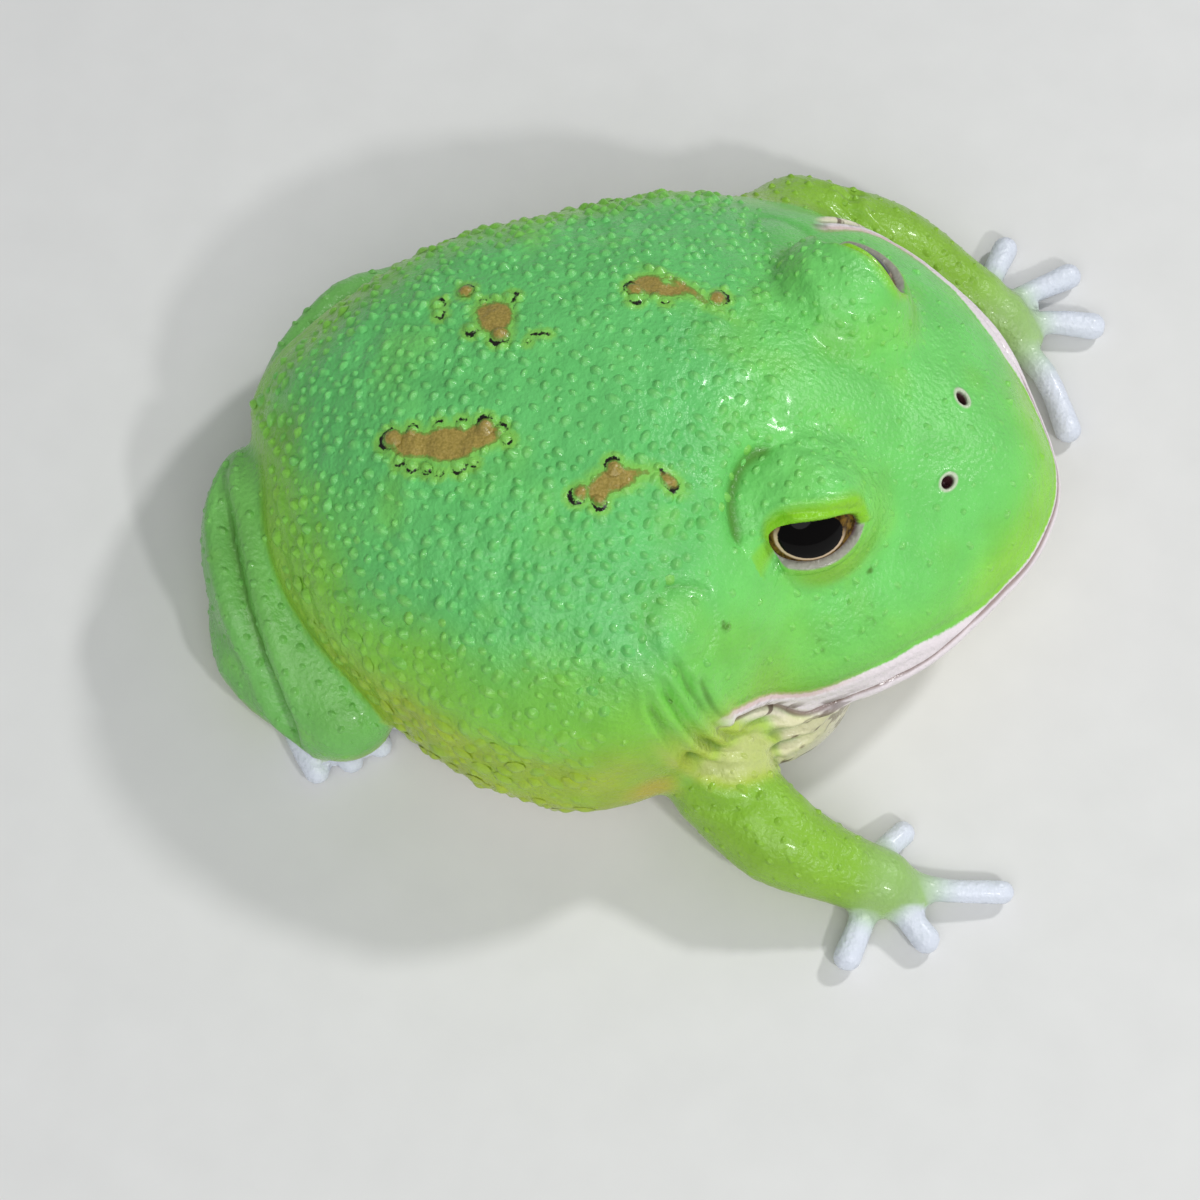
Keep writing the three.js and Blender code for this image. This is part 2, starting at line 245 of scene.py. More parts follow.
@dataclass(frozen=True)
class Tube:
    """A round-ended piece of a limb along a smooth path."""

    path: tuple[tuple[float, float, float], ...]
    radii: tuple[float, ...]
    steps: int = 14

    def beads(self) -> tuple[np.ndarray, np.ndarray]:
        """Points along the middle of the piece with the radius at each.

        Returns:
            Points and radii.
        """
        knots = np.array(self.path)
        before = 2.0 * knots[0] - knots[1]
        after = 2.0 * knots[-1] - knots[-2]
        knots = np.vstack([before, knots, after])
        spans = len(self.path) - 1
        places = []
        for share in np.linspace(0.0, 1.0, self.steps + 1):
            span = min(int(share * spans), spans - 1)
            places.append(self.on_span(knots[span : span + 4], share * spans - span))
        along = np.linspace(0.0, len(self.radii) - 1.0, self.steps + 1)
        return np.array(places), np.interp(along, np.arange(len(self.radii)), self.radii)

    @staticmethod
    def on_span(four: np.ndarray, weight: float) -> np.ndarray:
        """A point of the centripetal curve between the middle two of four knots.

        Args:
            four: Four knots in a row.
            weight: How far along, from 0 to 1.

        Returns:
            The point.
        """
        gap = np.maximum(np.linalg.norm(np.diff(four, axis=0), axis=1) ** 0.5, 1e-4)
        leave = (four[1] - four[0]) / gap[0] - (four[2] - four[0]) / (gap[0] + gap[1])
        leave = (leave + (four[2] - four[1]) / gap[1]) * gap[1]
        arrive = (four[2] - four[1]) / gap[1] - (four[3] - four[1]) / (gap[1] + gap[2])
        arrive = (arrive + (four[3] - four[2]) / gap[2]) * gap[1]
        square = 3.0 * (four[2] - four[1]) - 2.0 * leave - arrive
        cube = 2.0 * (four[1] - four[2]) + leave + arrive
        return four[1] + weight * (leave + weight * (square + weight * cube))

    def measure(self, spots: np.ndarray) -> tuple[np.ndarray, np.ndarray]:
        """Distance to the piece, and how far along it each point lies.

        Args:
            spots: Points in millimetres.

        Returns:
            Distances, FAR beyond the piece's surroundings, and shares from 0 to 1.
        """
        middle, radius = self.beads()
        distance = np.full(len(spots), FAR)
        along = np.zeros(len(spots))
        reach = radius.max() + 5.0
        near = np.all((spots > middle.min(0) - reach) & (spots < middle.max(0) + reach), axis=1)
        local = spots[near]
        best = np.full(len(local), FAR)
        share = np.zeros(len(local))
        for index in range(len(middle) - 1):
            span = middle[index + 1] - middle[index]
            part = np.clip(((local - middle[index]) @ span) / (span @ span), 0.0, 1.0)
            apart = np.linalg.norm(local - middle[index] - part[:, None] * span, axis=1)
            apart -= radius[index] + part * (radius[index + 1] - radius[index])
            closer = apart < best
            best[closer] = apart[closer]
            share[closer] = (index + part[closer]) / (len(middle) - 1)
        distance[near] = best
        along[near] = share
        return distance, along


@dataclass(frozen=True)
class Limb:
    """An arm or a leg, from the body outwards."""

    pieces: tuple[Tube, ...]
    blends: tuple[float, ...]
    digits: tuple[Tube, ...]
    digit_blend: float = 0.7


def digit_tubes(paths: tuple, radii: tuple[float, ...]) -> tuple[Tube, ...]:
    """Makes one thin tube for each path.

    Args:
        paths: Three points for each finger or toe.
        radii: Radius from root to tip.

    Returns:
        The tubes.
    """
    return tuple(Tube(path, radii, steps=6) for path in paths)


def mirrored(tube: Tube, mirror_y: float, ahead: float) -> Tube:
    """The same piece on the other side, moved forward.

    Args:
        tube: The piece to mirror.
        mirror_y: Where the mirror stands.
        ahead: How much further forward the other side lies.

    Returns:
        The mirrored piece.
    """
    path = tuple((x + ahead, 2.0 * mirror_y - y, z) for x, y, z in tube.path)
    return Tube(path, tube.radii, tube.steps)


@dataclass(frozen=True)
class EyeSocket:
    """Where an eye sits and which way it looks."""

    side: Side
    radius: float = 5.5
    hood: float = 6.45

    @property
    def centre(self) -> np.ndarray:
        """Middle of the eyeball."""
        return on_side((17.3, 10.2, 23.3), self.side)

    @property
    def axes(self) -> np.ndarray:
        """The eye's own directions.

        Returns:
            Rows: forward along the slit, upward across it, and outward.
        """
        look = unit(np.array([0.3, self.side.value * 0.74, 0.58]))
        forward = unit(np.array([1.0, 0.0, 0.0]) - look * look[0])
        upward = np.cross(look, forward)
        return np.array([forward, upward * np.sign(upward[2]), look])

    def local(self, spots: np.ndarray) -> np.ndarray:
        """Points seen from the eye.

        Args:
            spots: Points in millimetres.

        Returns:
            Columns: forward, upward and outward, in millimetres.
        """
        return (spots - self.centre) @ self.axes.T


@dataclass
class FrogForm:
    """The whole outline as one distance field, with the sizes of the solids."""

    trunk: tuple[Mass, ...] = (
        Mass((2, -1.4, 14.6), (33.6, 27.5, 17.4), 19),
        Mass((1, -1.8, 9), (27.5, 27.8, 10.5), 18),
        Mass((4, 2.4, 14), (21, 27.6, 14), 18),
        Mass((-20.4, 1.6, 12.6), (12.8, 10, 9.5), 14),
        Mass((8, 3.8, 16.5), (18, 17.5, 13.2), 19),
    )
    head: tuple[Mass, ...] = (
        Mass((12, HEAD_AXIS_Y, 11), (20, 23.2, 10.2), 24.6),
        Mass((12.2, HEAD_AXIS_Y, 12.4), (20, 24.2, 12.6), 24.4),
        Mass((24, HEAD_AXIS_Y, 12.2), (12, 12.4, 9.4), 15),
    )
    brow_at: tuple[float, float, float] = (17.2, 9.4, 22.4)
    brow_half: tuple[float, float, float] = (7.2, 6.4, 6.0)
    jowl_at: tuple[float, float, float] = (15.0, 19.2, 6.4)
    jowl_half: tuple[float, float, float] = (9.5, 8.5, 6.0)
    melt_trunk: float = 3.0
    melt_brow: float = 2.0
    melt_hood: float = 0.8
    mouth_snout: tuple[float, float] = (39.0, 12.9)
    mouth_slope: float = 0.1
    lip_swell: float = 0.5
    finger_radii: tuple[float, ...] = (1.35, 1.15, 1.2)
    toe_radii: tuple[float, ...] = (1.45, 1.2, 1.15)
    leg_mirror_y: float = -1.2
    leg_ahead: float = 2.4
    sockets: tuple[EyeSocket, ...] = (EyeSocket(Side.RIGHT), EyeSocket(Side.LEFT))
    limbs: list[Limb] = field(default_factory=list)

    def __post_init__(self) -> None:
        """Lays out the four limbs."""
        arm_blends = (2.2, 1.0, 0.8)
        right_arm = Limb(
            (
                Tube(((4, -15, 12), (9, -18.5, 10.4), (13.6, -22, 8.2)), (6, 5.4, 4.6)),
                Tube(((14.4, -24, 7), (20, -27.4, 5.6), (27.4, -28.8, 3.4)), (4.6, 4.3, 3.1)),
                Tube(((26.5, -28.2, 3), (30, -28.8, 2.3), (32.6, -29.2, 1.7)), (3, 3.1, 2), 8),
            ),
            arm_blends,
            digit_tubes(
                (
                    ((28.6, -27.4, 2), (30, -25.2, 1.8), (31.2, -23.4, 1.2)),
                    ((31.2, -28.4, 1.9), (36, -28.2, 1.8), (40.8, -27.2, 1.2)),
                    ((30.8, -29.8, 1.8), (32.8, -31.2, 1.6), (34.8, -32.8, 1.2)),
                    ((29.2, -30.4, 1.8), (28.8, -33, 1.5), (28.2, -35.8, 1.2)),
                ),
                self.finger_radii,
            ),
        )
        left_arm = Limb(
            (
                Tube(((3, 20, 12), (8, 27, 10), (12, 32.5, 8)), (6.5, 6, 5)),
                Tube(((11, 32.5, 7.4), (20, 33.2, 6), (29.4, 30.6, 3.8)), (5, 4.4, 2.9)),
                Tube(((28.4, 30.8, 3.4), (32, 29.6, 2.5), (34.6, 28.6, 1.8)), (3, 3, 2), 8),
            ),
            arm_blends,
            digit_tubes(
                (
                    ((33, 28.4, 2), (37.2, 24.8, 1.8), (40.2, 19.8, 1.2)),
                    ((33.4, 29.2, 2), (37, 30.6, 1.8), (41, 31.2, 1.2)),
                    ((32, 30.8, 1.9), (34.6, 33.4, 1.7), (38, 36.2, 1.2)),
                    ((30.4, 31.6, 1.9), (30.8, 34.6, 1.6), (31.6, 38, 1.2)),
                ),
                self.finger_radii,
            ),
        )
        thigh = Tube(
            ((-23, -7.4, 11.5), (-30, -7, 11), (-28, -15, 8.8), (-19.8, -23.2, 6)),
            (5.6, 5.8, 5.6, 4.4),
            18,
        )
        shank = Tube(((-20.4, -23.6, 4.4), (-28.6, -18.6, 4.8), (-33, -8.4, 4.8)), (3.6, 4.4, 3))
        sole = Tube(((-33, -8, 2.4), (-29.4, -15.6, 1.8), (-25, -21, 1.6)), (2.6, 2.7, 2.4))
        toes = digit_tubes(
            (
                ((-26.4, -18.4, 1.5), (-21.6, -18.6, 1.3), (-17, -17.8, 1.1)),
                ((-26, -19.4, 1.5), (-21, -20.8, 1.3), (-16, -21, 1.1)),
                ((-25.8, -20.4, 1.6), (-21.4, -22.8, 1.4), (-16.8, -24, 1.1)),
                ((-25.6, -21, 1.6), (-22.2, -24, 1.4), (-19, -26, 1.1)),
                ((-25.8, -21.4, 1.6), (-24, -24.8, 1.4), (-21.8, -27.6, 1.2)),
            ),
            self.toe_radii,
        )
        leg_blends = (1.2, 0.8, 0.8)
        near_leg = Limb((thigh, shank, sole), leg_blends, toes)
        far_leg = Limb(
            tuple(mirrored(tube, self.leg_mirror_y, self.leg_ahead) for tube in near_leg.pieces),
            leg_blends,
            tuple(mirrored(tube, self.leg_mirror_y, self.leg_ahead) for tube in toes),
        )
        self.limbs = [right_arm, left_arm, near_leg, far_leg]

    def mouth_height(self, x: np.ndarray) -> np.ndarray:
        """Height of the mouth line.

        Args:
            x: How far ahead.

        Returns:
            Heights above the ground.
        """
        return self.mouth_snout[1] - (self.mouth_snout[0] - x) * self.mouth_slope

    def body(self, spots: np.ndarray) -> np.ndarray:
        """Distance to trunk and head, without limbs and eye hoods.

        Args:
            spots: Points in millimetres.

        Returns:
            Distances, less than zero inside.
        """
        distance = self.trunk[0].distance(spots)
        for mass in self.trunk[1:] + self.head:
            distance = melt(distance, mass.distance(spots), self.melt_trunk)
        for side in Side:
            for at, half in ((self.brow_at, self.brow_half), (self.jowl_at, self.jowl_half)):
                mass = Mass(tuple(on_side(at, side)), half, half[0])
                distance = melt(distance, mass.distance(spots), self.melt_brow)
        rise = (spots[:, 2] - self.mouth_height(spots[:, 0])) / 1.5
        jaw = fade(spots[:, 0], 7.6, 16.6)
        return distance - self.lip_swell * jaw * np.exp(-rise * rise)

    def flesh(self, spots: np.ndarray) -> np.ndarray:
        """Distance to the limbs alone.

        Args:
            spots: Points in millimetres.

        Returns:
            Distances, FAR where no limb is near.
        """
        nearest = np.full(len(spots), FAR)
        for limb in self.limbs:
            for tube in limb.pieces + limb.digits:
                nearest = np.minimum(nearest, tube.measure(spots)[0])
        return nearest

    def distance(self, spots: np.ndarray) -> np.ndarray:
        """Distance to the whole skin.

        Args:
            spots: Points in millimetres.

        Returns:
            Distances, less than zero inside.
        """
        total = self.body(spots)
        for socket in self.sockets:
            hood = np.linalg.norm(spots - socket.centre, axis=1) - socket.hood
            total = melt(total, hood, self.melt_hood)
        for limb in self.limbs:
            for tube, blend in zip(limb.pieces, limb.blends):
                total = melt(total, tube.measure(spots)[0], blend)
            for tube in limb.digits:
                total = melt(total, tube.measure(spots)[0], limb.digit_blend)
        return total

    def outward(self, spots: np.ndarray, step: float = 0.05) -> tuple[np.ndarray, np.ndarray]:
        """Distance, and the way in which it grows fastest.

        Args:
            spots: Points in millimetres.
            step: How far apart the samples lie.

        Returns:
            Distances and slopes.
        """
        here = self.distance(spots)
        slope = np.zeros_like(spots)
        for axis in range(3):
            moved = spots.copy()
            moved[:, axis] += step
            slope[:, axis] = (self.distance(moved) - here) / step
        return here, slope

    def on_skin(self, target: np.ndarray) -> np.ndarray:
        """The point of the body that a ray from the middle of the head meets.

        Args:
            target: A point that the ray passes through.

        Returns:
            The point on the skin.
        """
        start = np.array([14.0, HEAD_AXIS_Y, 12.4])
        way = unit(target - start)
        reach = np.arange(2.0, 40.0, 0.02)
        inside = self.body(start + reach[:, None] * way) < 0.0
        return start + reach[np.argmin(inside)] * way


# ------------------------------------------------------------ shader tools


class Wire:
    """A shader output that adds Math nodes when it is used in arithmetic."""

    def __init__(self, sheet: "NodeSheet", socket: bpy.types.NodeSocket | None) -> None:
        """Keeps the sheet and the output.

        Args:
            sheet: The sheet that the node is on.
            socket: The output.
        """
        self.sheet = sheet
        self.socket = socket

    def reckon(self, operation: str, first: object, second: object) -> "Wire":
        """Adds one Math node.

        Args:
            operation: What the node does.
            first: Its first value or wire.
            second: Its second value or wire.

        Returns:
            The result.
        """
        settings = {"operation": operation}
        return self.sheet.add("ShaderNodeMath", settings, {0: first, 1: second})

    def __add__(self, other: object) -> "Wire":
        """Sum."""
        return self.reckon("ADD", self, other)

    def __radd__(self, other: object) -> "Wire":
        """Sum, reflected."""
        return self.reckon("ADD", other, self)

    def __sub__(self, other: object) -> "Wire":
        """Difference."""
        return self.reckon("SUBTRACT", self, other)

    def __rsub__(self, other: object) -> "Wire":
        """Difference, reflected."""
        return self.reckon("SUBTRACT", other, self)

    def __mul__(self, other: object) -> "Wire":
        """Product."""
        return self.reckon("MULTIPLY", self, other)

    def __rmul__(self, other: object) -> "Wire":
        """Product, reflected."""
        return self.reckon("MULTIPLY", other, self)

    def __truediv__(self, other: object) -> "Wire":
        """Quotient."""
        return self.reckon("DIVIDE", self, other)

    def __or__(self, other: object) -> "Wire":
        """The larger of two masks."""
        return self.reckon("MAXIMUM", self, other)


class NodeSheet:
    """The node tree of one material, filled through one method."""

    mix_amount: int = 0
    mix_under: int = 6
    mix_over: int = 7
    mix_result: int = 2

    def __init__(self, name: str) -> None:
        """Starts an empty material.

        Args:
            name: Name of the material.
        """
        self.material = bpy.data.materials.new(name)
        self.material.use_nodes = True
        self.tree = self.material.node_tree
        self.tree.nodes.clear()

    def add(
        self,
        kind: str,
        settings: dict | None = None,
        sockets: dict | None = None,
        output: int | str = 0,
    ) -> Wire:
        """Adds a node of any kind.

        Args:
            kind: Blender's name for the node.
            settings: Its own settings, set before the sockets.
            sockets: Values or wires for its inputs, by number or name.
            output: Which output the result is.

        Returns:
            The chosen output.
        """
        node = self.tree.nodes.new(kind)
        for key, value in (settings or {}).items():
            setattr(node, key, value)
        for key, value in (sockets or {}).items():
            if isinstance(value, Wire):
                self.tree.links.new(value.socket, node.inputs[key])
            else:
                node.inputs[key].default_value = value
        return Wire(self, node.outputs[output] if len(node.outputs) else None)

    def fade(self, value: Wire, start: float, end: float) -> Wire:
        """A smooth step from 0 at start to 1 at end.

        Args:
            value: The value to judge.
            start: Where the result leaves 0.
            end: Where the result reaches 1.

        Returns:
            The result.
        """
        settings = {"interpolation_type": "SMOOTHSTEP"}
        return self.add("ShaderNodeMapRange", settings, {0: value, 1: start, 2: end})

    def mix(self, amount: object, under: object, over: object) -> Wire:
        """Lays one colour over another.

        Args:
            amount: How much of the upper colour shows.
            under: The lower colour.
            over: The upper colour.

        Returns:
            The mixed colour.
        """
        settings = {"data_type": "RGBA"}
        sockets = {self.mix_amount: amount, self.mix_under: under, self.mix_over: over}
        return self.add("ShaderNodeMix", settings, sockets, output=self.mix_result)

    def measure(self, name: str) -> Wire:
        """Reads one number a point from the mesh.

        Args:
            name: Name of the attribute.

        Returns:
            The number.
        """
        return self.add("ShaderNodeAttribute", {"attribute_name": name}, output="Fac")

    def paint(self, name: str) -> Wire:
        """Reads a colour from the mesh.

        Args:
            name: Name of the attribute.

        Returns:
            The colour.
        """
        return self.add("ShaderNodeAttribute", {"attribute_name": name}, output="Color")

    def place(self) -> Wire:
        """The point on the object, in metres."""
        return self.add("ShaderNodeTexCoord", output="Object")

    def grain(self, size_mm: float, detail: float = 3.0) -> Wire:
        """Noise with lumps of a given size.

        Args:
            size_mm: Width of a lump in millimetres.
            detail: How many finer layers it has.

        Returns:
            Noise from 0 to 1.
        """
        sockets = {"Vector": self.place(), "Scale": 1.0 / (size_mm * MM), "Detail": detail}
        return self.add("ShaderNodeTexNoise", None, sockets)

    def finish(self, sockets: dict) -> bpy.types.Material:
        """Closes the material with its surface shader.

        Args:
            sockets: Values or wires for the shader.

        Returns:
            The material.
        """
        surface = self.add("ShaderNodeBsdfPrincipled", None, sockets)
        self.add("ShaderNodeOutputMaterial", None, {"Surface": surface})
        return self.material


def colour(red: float, green: float, blue: float) -> tuple[float, float, float, float]:
    """Turns a measured screen colour into the light that it stands for.

    Args:
        red: Red from 0 to 255.
        green: Green from 0 to 255.
        blue: Blue from 0 to 255.

    Returns:
        Red, green, blue and a full alpha.
    """
    linear = [((part / 255 + 0.055) / 1.055) ** 2.4 for part in (red, green, blue)]
    return (*linear, 1.0)


@dataclass(frozen=True)
class SkinFinish:
    """Wet, rubbery skin with painted spots, lips, lids and nostrils, and painted shade in creases, nostril pits
    and lid slits.
    """

    name: str = "frog_skin"
    roughness: float = 0.31
    coat: float = 0.16
    coat_roughness: float = 0.09
    tan: tuple = colour(146, 128, 58)
    tan_light: tuple = colour(186, 162, 88)
    tan_edge: tuple = colour(112, 108, 40)
    black: tuple = colour(20, 16, 9)
    halo: tuple = colour(150, 206, 60)
    lip_white: tuple = colour(238, 228, 232)
    # Painted shade for the mouth crease, mixed with the lip's own brownish edge.
    lip_line: tuple = colour(126, 96, 84)
    lip_pink: tuple = colour(206, 164, 150)
    lavender: tuple = colour(158, 142, 148)
    lid_green: tuple = colour(140, 205, 20)
    streak: tuple = colour(92, 70, 52)
    nostril_rim: tuple = colour(206, 208, 190)
    # Painted shade for the inside of the nostril pits and of the lid slits.
    hollow_shade: tuple = colour(70, 40, 44)
    # Painted shade for folds and grooves, also used for a few real marks of the head.
    crease: tuple = colour(70, 118, 26)

    def make(self) -> bpy.types.Material:
        """Builds the material.

        Returns:
            The material, which reads the attributes that the skin's painter writes.
        """
        sheet = NodeSheet(self.name)
        fine = sheet.grain(0.35)
        wide = sheet.grain(3.2, 2.0)
        ragged = (fine - 0.5) * 0.5 + (wide - 0.5) * 0.5
        coat = sheet.paint("tint")
        mottle = sheet.fade(wide, 0.35, 0.75) * 0.22 + sheet.fade(fine, 0.4, 0.8) * 0.14
        coat = sheet.mix(mottle, coat, sheet.add(
            "ShaderNodeHueSaturation", None, {"Saturation": 1.08, "Value": 0.72, "Color": coat}))
        # Painted shade in folds and grooves, with a few real marks of the head.
        coat = sheet.mix(sheet.fade(sheet.measure("crease"), 0.1, 1.0) * 0.85, coat, self.crease)
        tan_edge = sheet.measure("spot_tan") + ragged * 1.1
        dark_edge = sheet.measure("spot_dark") + (sheet.grain(0.28, 2.0) - 0.5) * 0.55
        halo = sheet.fade(tan_edge, 1.1, 0.1) | sheet.fade(dark_edge, 0.8, 0.1)
        coat = sheet.mix(halo * 0.5, coat, self.halo)
        coat = sheet.mix(sheet.fade(dark_edge, 0.05, -0.08), coat, self.black)
        tan = sheet.mix(sheet.fade(sheet.grain(0.22), 0.3, 0.75) * 0.7, self.tan, self.tan_light)
        coat = sheet.mix(sheet.fade(tan_edge, 0.16, 0.04) * 0.6, coat, self.tan_edge)
        coat = sheet.mix(sheet.fade(tan_edge, 0.02, -0.22), coat, tan)
        lip = sheet.measure("lip_rise") + ragged * 0.5
        line = sheet.measure("lip_line")
        shown = sheet.measure("lip_on")
        corner = sheet.measure("corner")
        white = sheet.fade(lip, 0.12, -0.1) * sheet.fade(line - corner * 1.3, -1.6, -1.0)
        coat = sheet.mix(white * shown, coat, self.lip_white)
        pink = sheet.fade(lip, -0.5, -0.2) * sheet.fade(lip, 0.4, 0.1) * corner
        coat = sheet.mix(pink * shown * 0.5, coat, self.lip_pink)
        # Painted shade along the mouth crease, partly the lip's own brownish edge.
        gap_shade = sheet.fade(line, -0.24, -0.04) * sheet.fade(line, 0.34, 0.12)
        coat = sheet.mix(gap_shade * shown * 0.75, coat, self.lip_line)
        drawn_out = sheet.add("ShaderNodeMapping", None, {"Vector": sheet.place(), "Scale": (0.3, 0.3, 1.3)})
        dashes = sheet.add("ShaderNodeTexNoise", None, {"Vector": drawn_out, "Scale": 1100.0, "Detail": 2.0})
        stripe = sheet.fade(dashes, 0.53, 0.62) * sheet.measure("streaks")
        coat = sheet.mix(stripe * 0.85, coat, self.streak)
        rim = sheet.measure("lid_edge")
        below = sheet.measure("lid_lower")
        lid = sheet.measure("lid_on")
        coat = sheet.mix(sheet.fade(rim, 0.46, 0.24) * below * lid * 0.85, coat, self.lavender)
        above = (1.0 - below) * lid
        coat = sheet.mix(sheet.fade(rim, 2.2, 0.9) * above * 0.9, coat, self.lid_green)
        # Painted shade on the skin inside the lid slit.
        coat = sheet.mix(sheet.fade(rim, 0.1, -0.1), coat, self.hollow_shade)
        nose = sheet.measure("nostril")
        coat = sheet.mix(sheet.fade(nose, 1.6, 1.2) * 0.85, coat, self.nostril_rim)
        # Painted shade in the nostril pits.
        coat = sheet.mix(sheet.fade(nose, 1.02, 0.8), coat, self.hollow_shade)
        rough = self.roughness + (wide - 0.5) * 0.22 + (fine - 0.5) * 0.2
        drawn = sheet.add("ShaderNodeMapping", None, {"Vector": sheet.place(), "Scale": (1.0, 0.45, 0.45)})
        wrinkles = sheet.add("ShaderNodeTexNoise", None, {"Vector": drawn, "Scale": 1900.0, "Detail": 3.0})
        pores = sheet.add("ShaderNodeTexVoronoi", None, {"Vector": sheet.place(), "Scale": 1700.0})
        relief = wrinkles * 0.45 + fine * 0.7 + pores * 0.45
        normal = sheet.add("ShaderNodeBump", None, {"Strength": 0.75, "Distance": 0.0002, "Height": relief})
        return sheet.finish({
            "Base Color": coat, "Roughness": rough, "Normal": normal, "IOR": 1.42,
            "Coat Weight": self.coat, "Coat Roughness": self.coat_roughness, "Coat IOR": 1.4,
        })


@dataclass(frozen=True)
class EyeFinish:
    """Glossy eye with a lying oval pupil, a pale ring and a dark olive iris."""

    name: str = "frog_eye"
    pupil: tuple[float, float, float, float] = (-0.1, 0.2, 2.68, 2.0)
    pupil_tilt: float = 0.15
    black: tuple = colour(8, 6, 6)
    ring: tuple = colour(214, 190, 160)
    iris: tuple = colour(120, 92, 36)
    iris_dark: tuple = colour(58, 40, 16)
    rim: tuple = colour(60, 44, 34)

    def make(self) -> bpy.types.Material:
        """Builds the material.

        Returns:
            The material, which reads where each point lies on the front of the eye.
        """
        sheet = NodeSheet(self.name)
        across, up, half_long, half_high = self.pupil
        u = sheet.measure("gaze_u") - across
        v = sheet.measure("gaze_v") - up
        turn, lift = math.cos(self.pupil_tilt), math.sin(self.pupil_tilt)
        along = (u * turn + v * lift) / half_long
        over = (v * turn - u * lift) / half_high
        reach = (along * along + over * over).reckon("POWER", along * along + over * over, 0.5)
        grain = sheet.grain(0.4)
        wobble = reach + (grain - 0.5) * 0.06
        iris = sheet.mix(sheet.fade(grain, 0.35, 0.68), self.iris_dark, self.iris)
        low = sheet.fade(v, 0.9, -0.9)
        coat = sheet.mix(sheet.fade(wobble, 1.2, 1.12) * low, iris, self.ring)
        coat = sheet.mix(sheet.fade(wobble, 1.07, 1.03), coat, self.black)
        coat = sheet.mix(sheet.fade(sheet.measure("gaze_out"), 2.6, 1.6), coat, self.rim)
        rough = 0.05 + (grain - 0.5) * 0.03
        return sheet.finish({
            "Base Color": coat, "Roughness": rough, "IOR": 1.2,
        })


@dataclass(frozen=True)
class FloorFinish:
    """Plain pale board with a very light grain."""

    name: str = "studio_floor"
    light: tuple[float, ...] = (0.78, 0.78, 0.77, 1.0)
    dark: tuple[float, ...] = (0.72, 0.72, 0.71, 1.0)

    def make(self) -> bpy.types.Material:
        """Builds the material.

        Returns:
            The material.
        """
        sheet = NodeSheet(self.name)
        grain = sheet.grain(6.0)
        return sheet.finish({
            "Base Color": sheet.mix(grain, self.light, self.dark), "Roughness": 0.6 + grain * 0.1,
        })


# ------------------------------------------------------------- mesh tools


def only(*pieces: bpy.types.Object) -> None:
    """Selects these objects and nothing else, the first of them active.

    Args:
        pieces: The objects.
    """
    bpy.ops.object.select_all(action="DESELECT")
    for piece in pieces:
        piece.select_set(True)
    bpy.context.view_layer.objects.active = pieces[0]


@contextmanager
def editing() -> Iterator[None]:
    """Works on the active object's mesh in edit mode, and leaves it again.

    Yields:
        Nothing, once, while edit mode is on.
    """
    bpy.ops.object.mode_set(mode="EDIT")
    yield
    bpy.ops.object.mode_set(mode="OBJECT")


def read_spots(piece: bpy.types.Object) -> np.ndarray:
    """The mesh's points in millimetres of the drawing frame.

    Args:
        piece: The object.

    Returns:
        One point a row.
    """
    flat = np.zeros(len(piece.data.vertices) * 3)
    piece.data.vertices.foreach_get("co", flat)
    return flat.reshape(-1, 3) / MM - SHIFT


def write_spots(piece: bpy.types.Object, spots: np.ndarray) -> None:
    """Lays the mesh's points down in metres.

    Args:
        piece: The object.
        spots: One point a row, in millimetres of the drawing frame.
    """
    piece.data.vertices.foreach_set("co", ((spots + SHIFT) * MM).ravel())
    piece.data.update()


def write_number(piece: bpy.types.Object, name: str, values: np.ndarray) -> None:
    """Stores one number a point under a name that the materials read.

    Args:
        piece: The object.
        name: Name of the attribute.
        values: One number a point.
    """
    layer = piece.data.attributes.new(name, "FLOAT", "POINT")
    layer.data.foreach_set("value", np.asarray(values, dtype=np.float32))


def write_colour(piece: bpy.types.Object, name: str, values: np.ndarray) -> None:
    """Stores one colour a point under a name that the materials read.

    Args:
        piece: The object.
        name: Name of the attribute.
        values: Red, green, blue and alpha, one row a point.
    """
    layer = piece.data.attributes.get(name) or piece.data.attributes.new(name, "FLOAT_COLOR", "POINT")
    layer.data.foreach_set("color", np.asarray(values, dtype=np.float32).ravel())


def bend_of(knots: tuple[tuple[float, float], ...], degree: int) -> np.poly1d:
    """The smooth curve that fits a few measured knots.

    Args:
        knots: Pairs of place and height.
        degree: How lively the curve may be.

    Returns:
        A curve to call with places.
    """
    places, heights = np.array(knots).T
    return np.poly1d(np.polyfit(places, heights, degree))


# ------------------------------------------------------------- fine forms


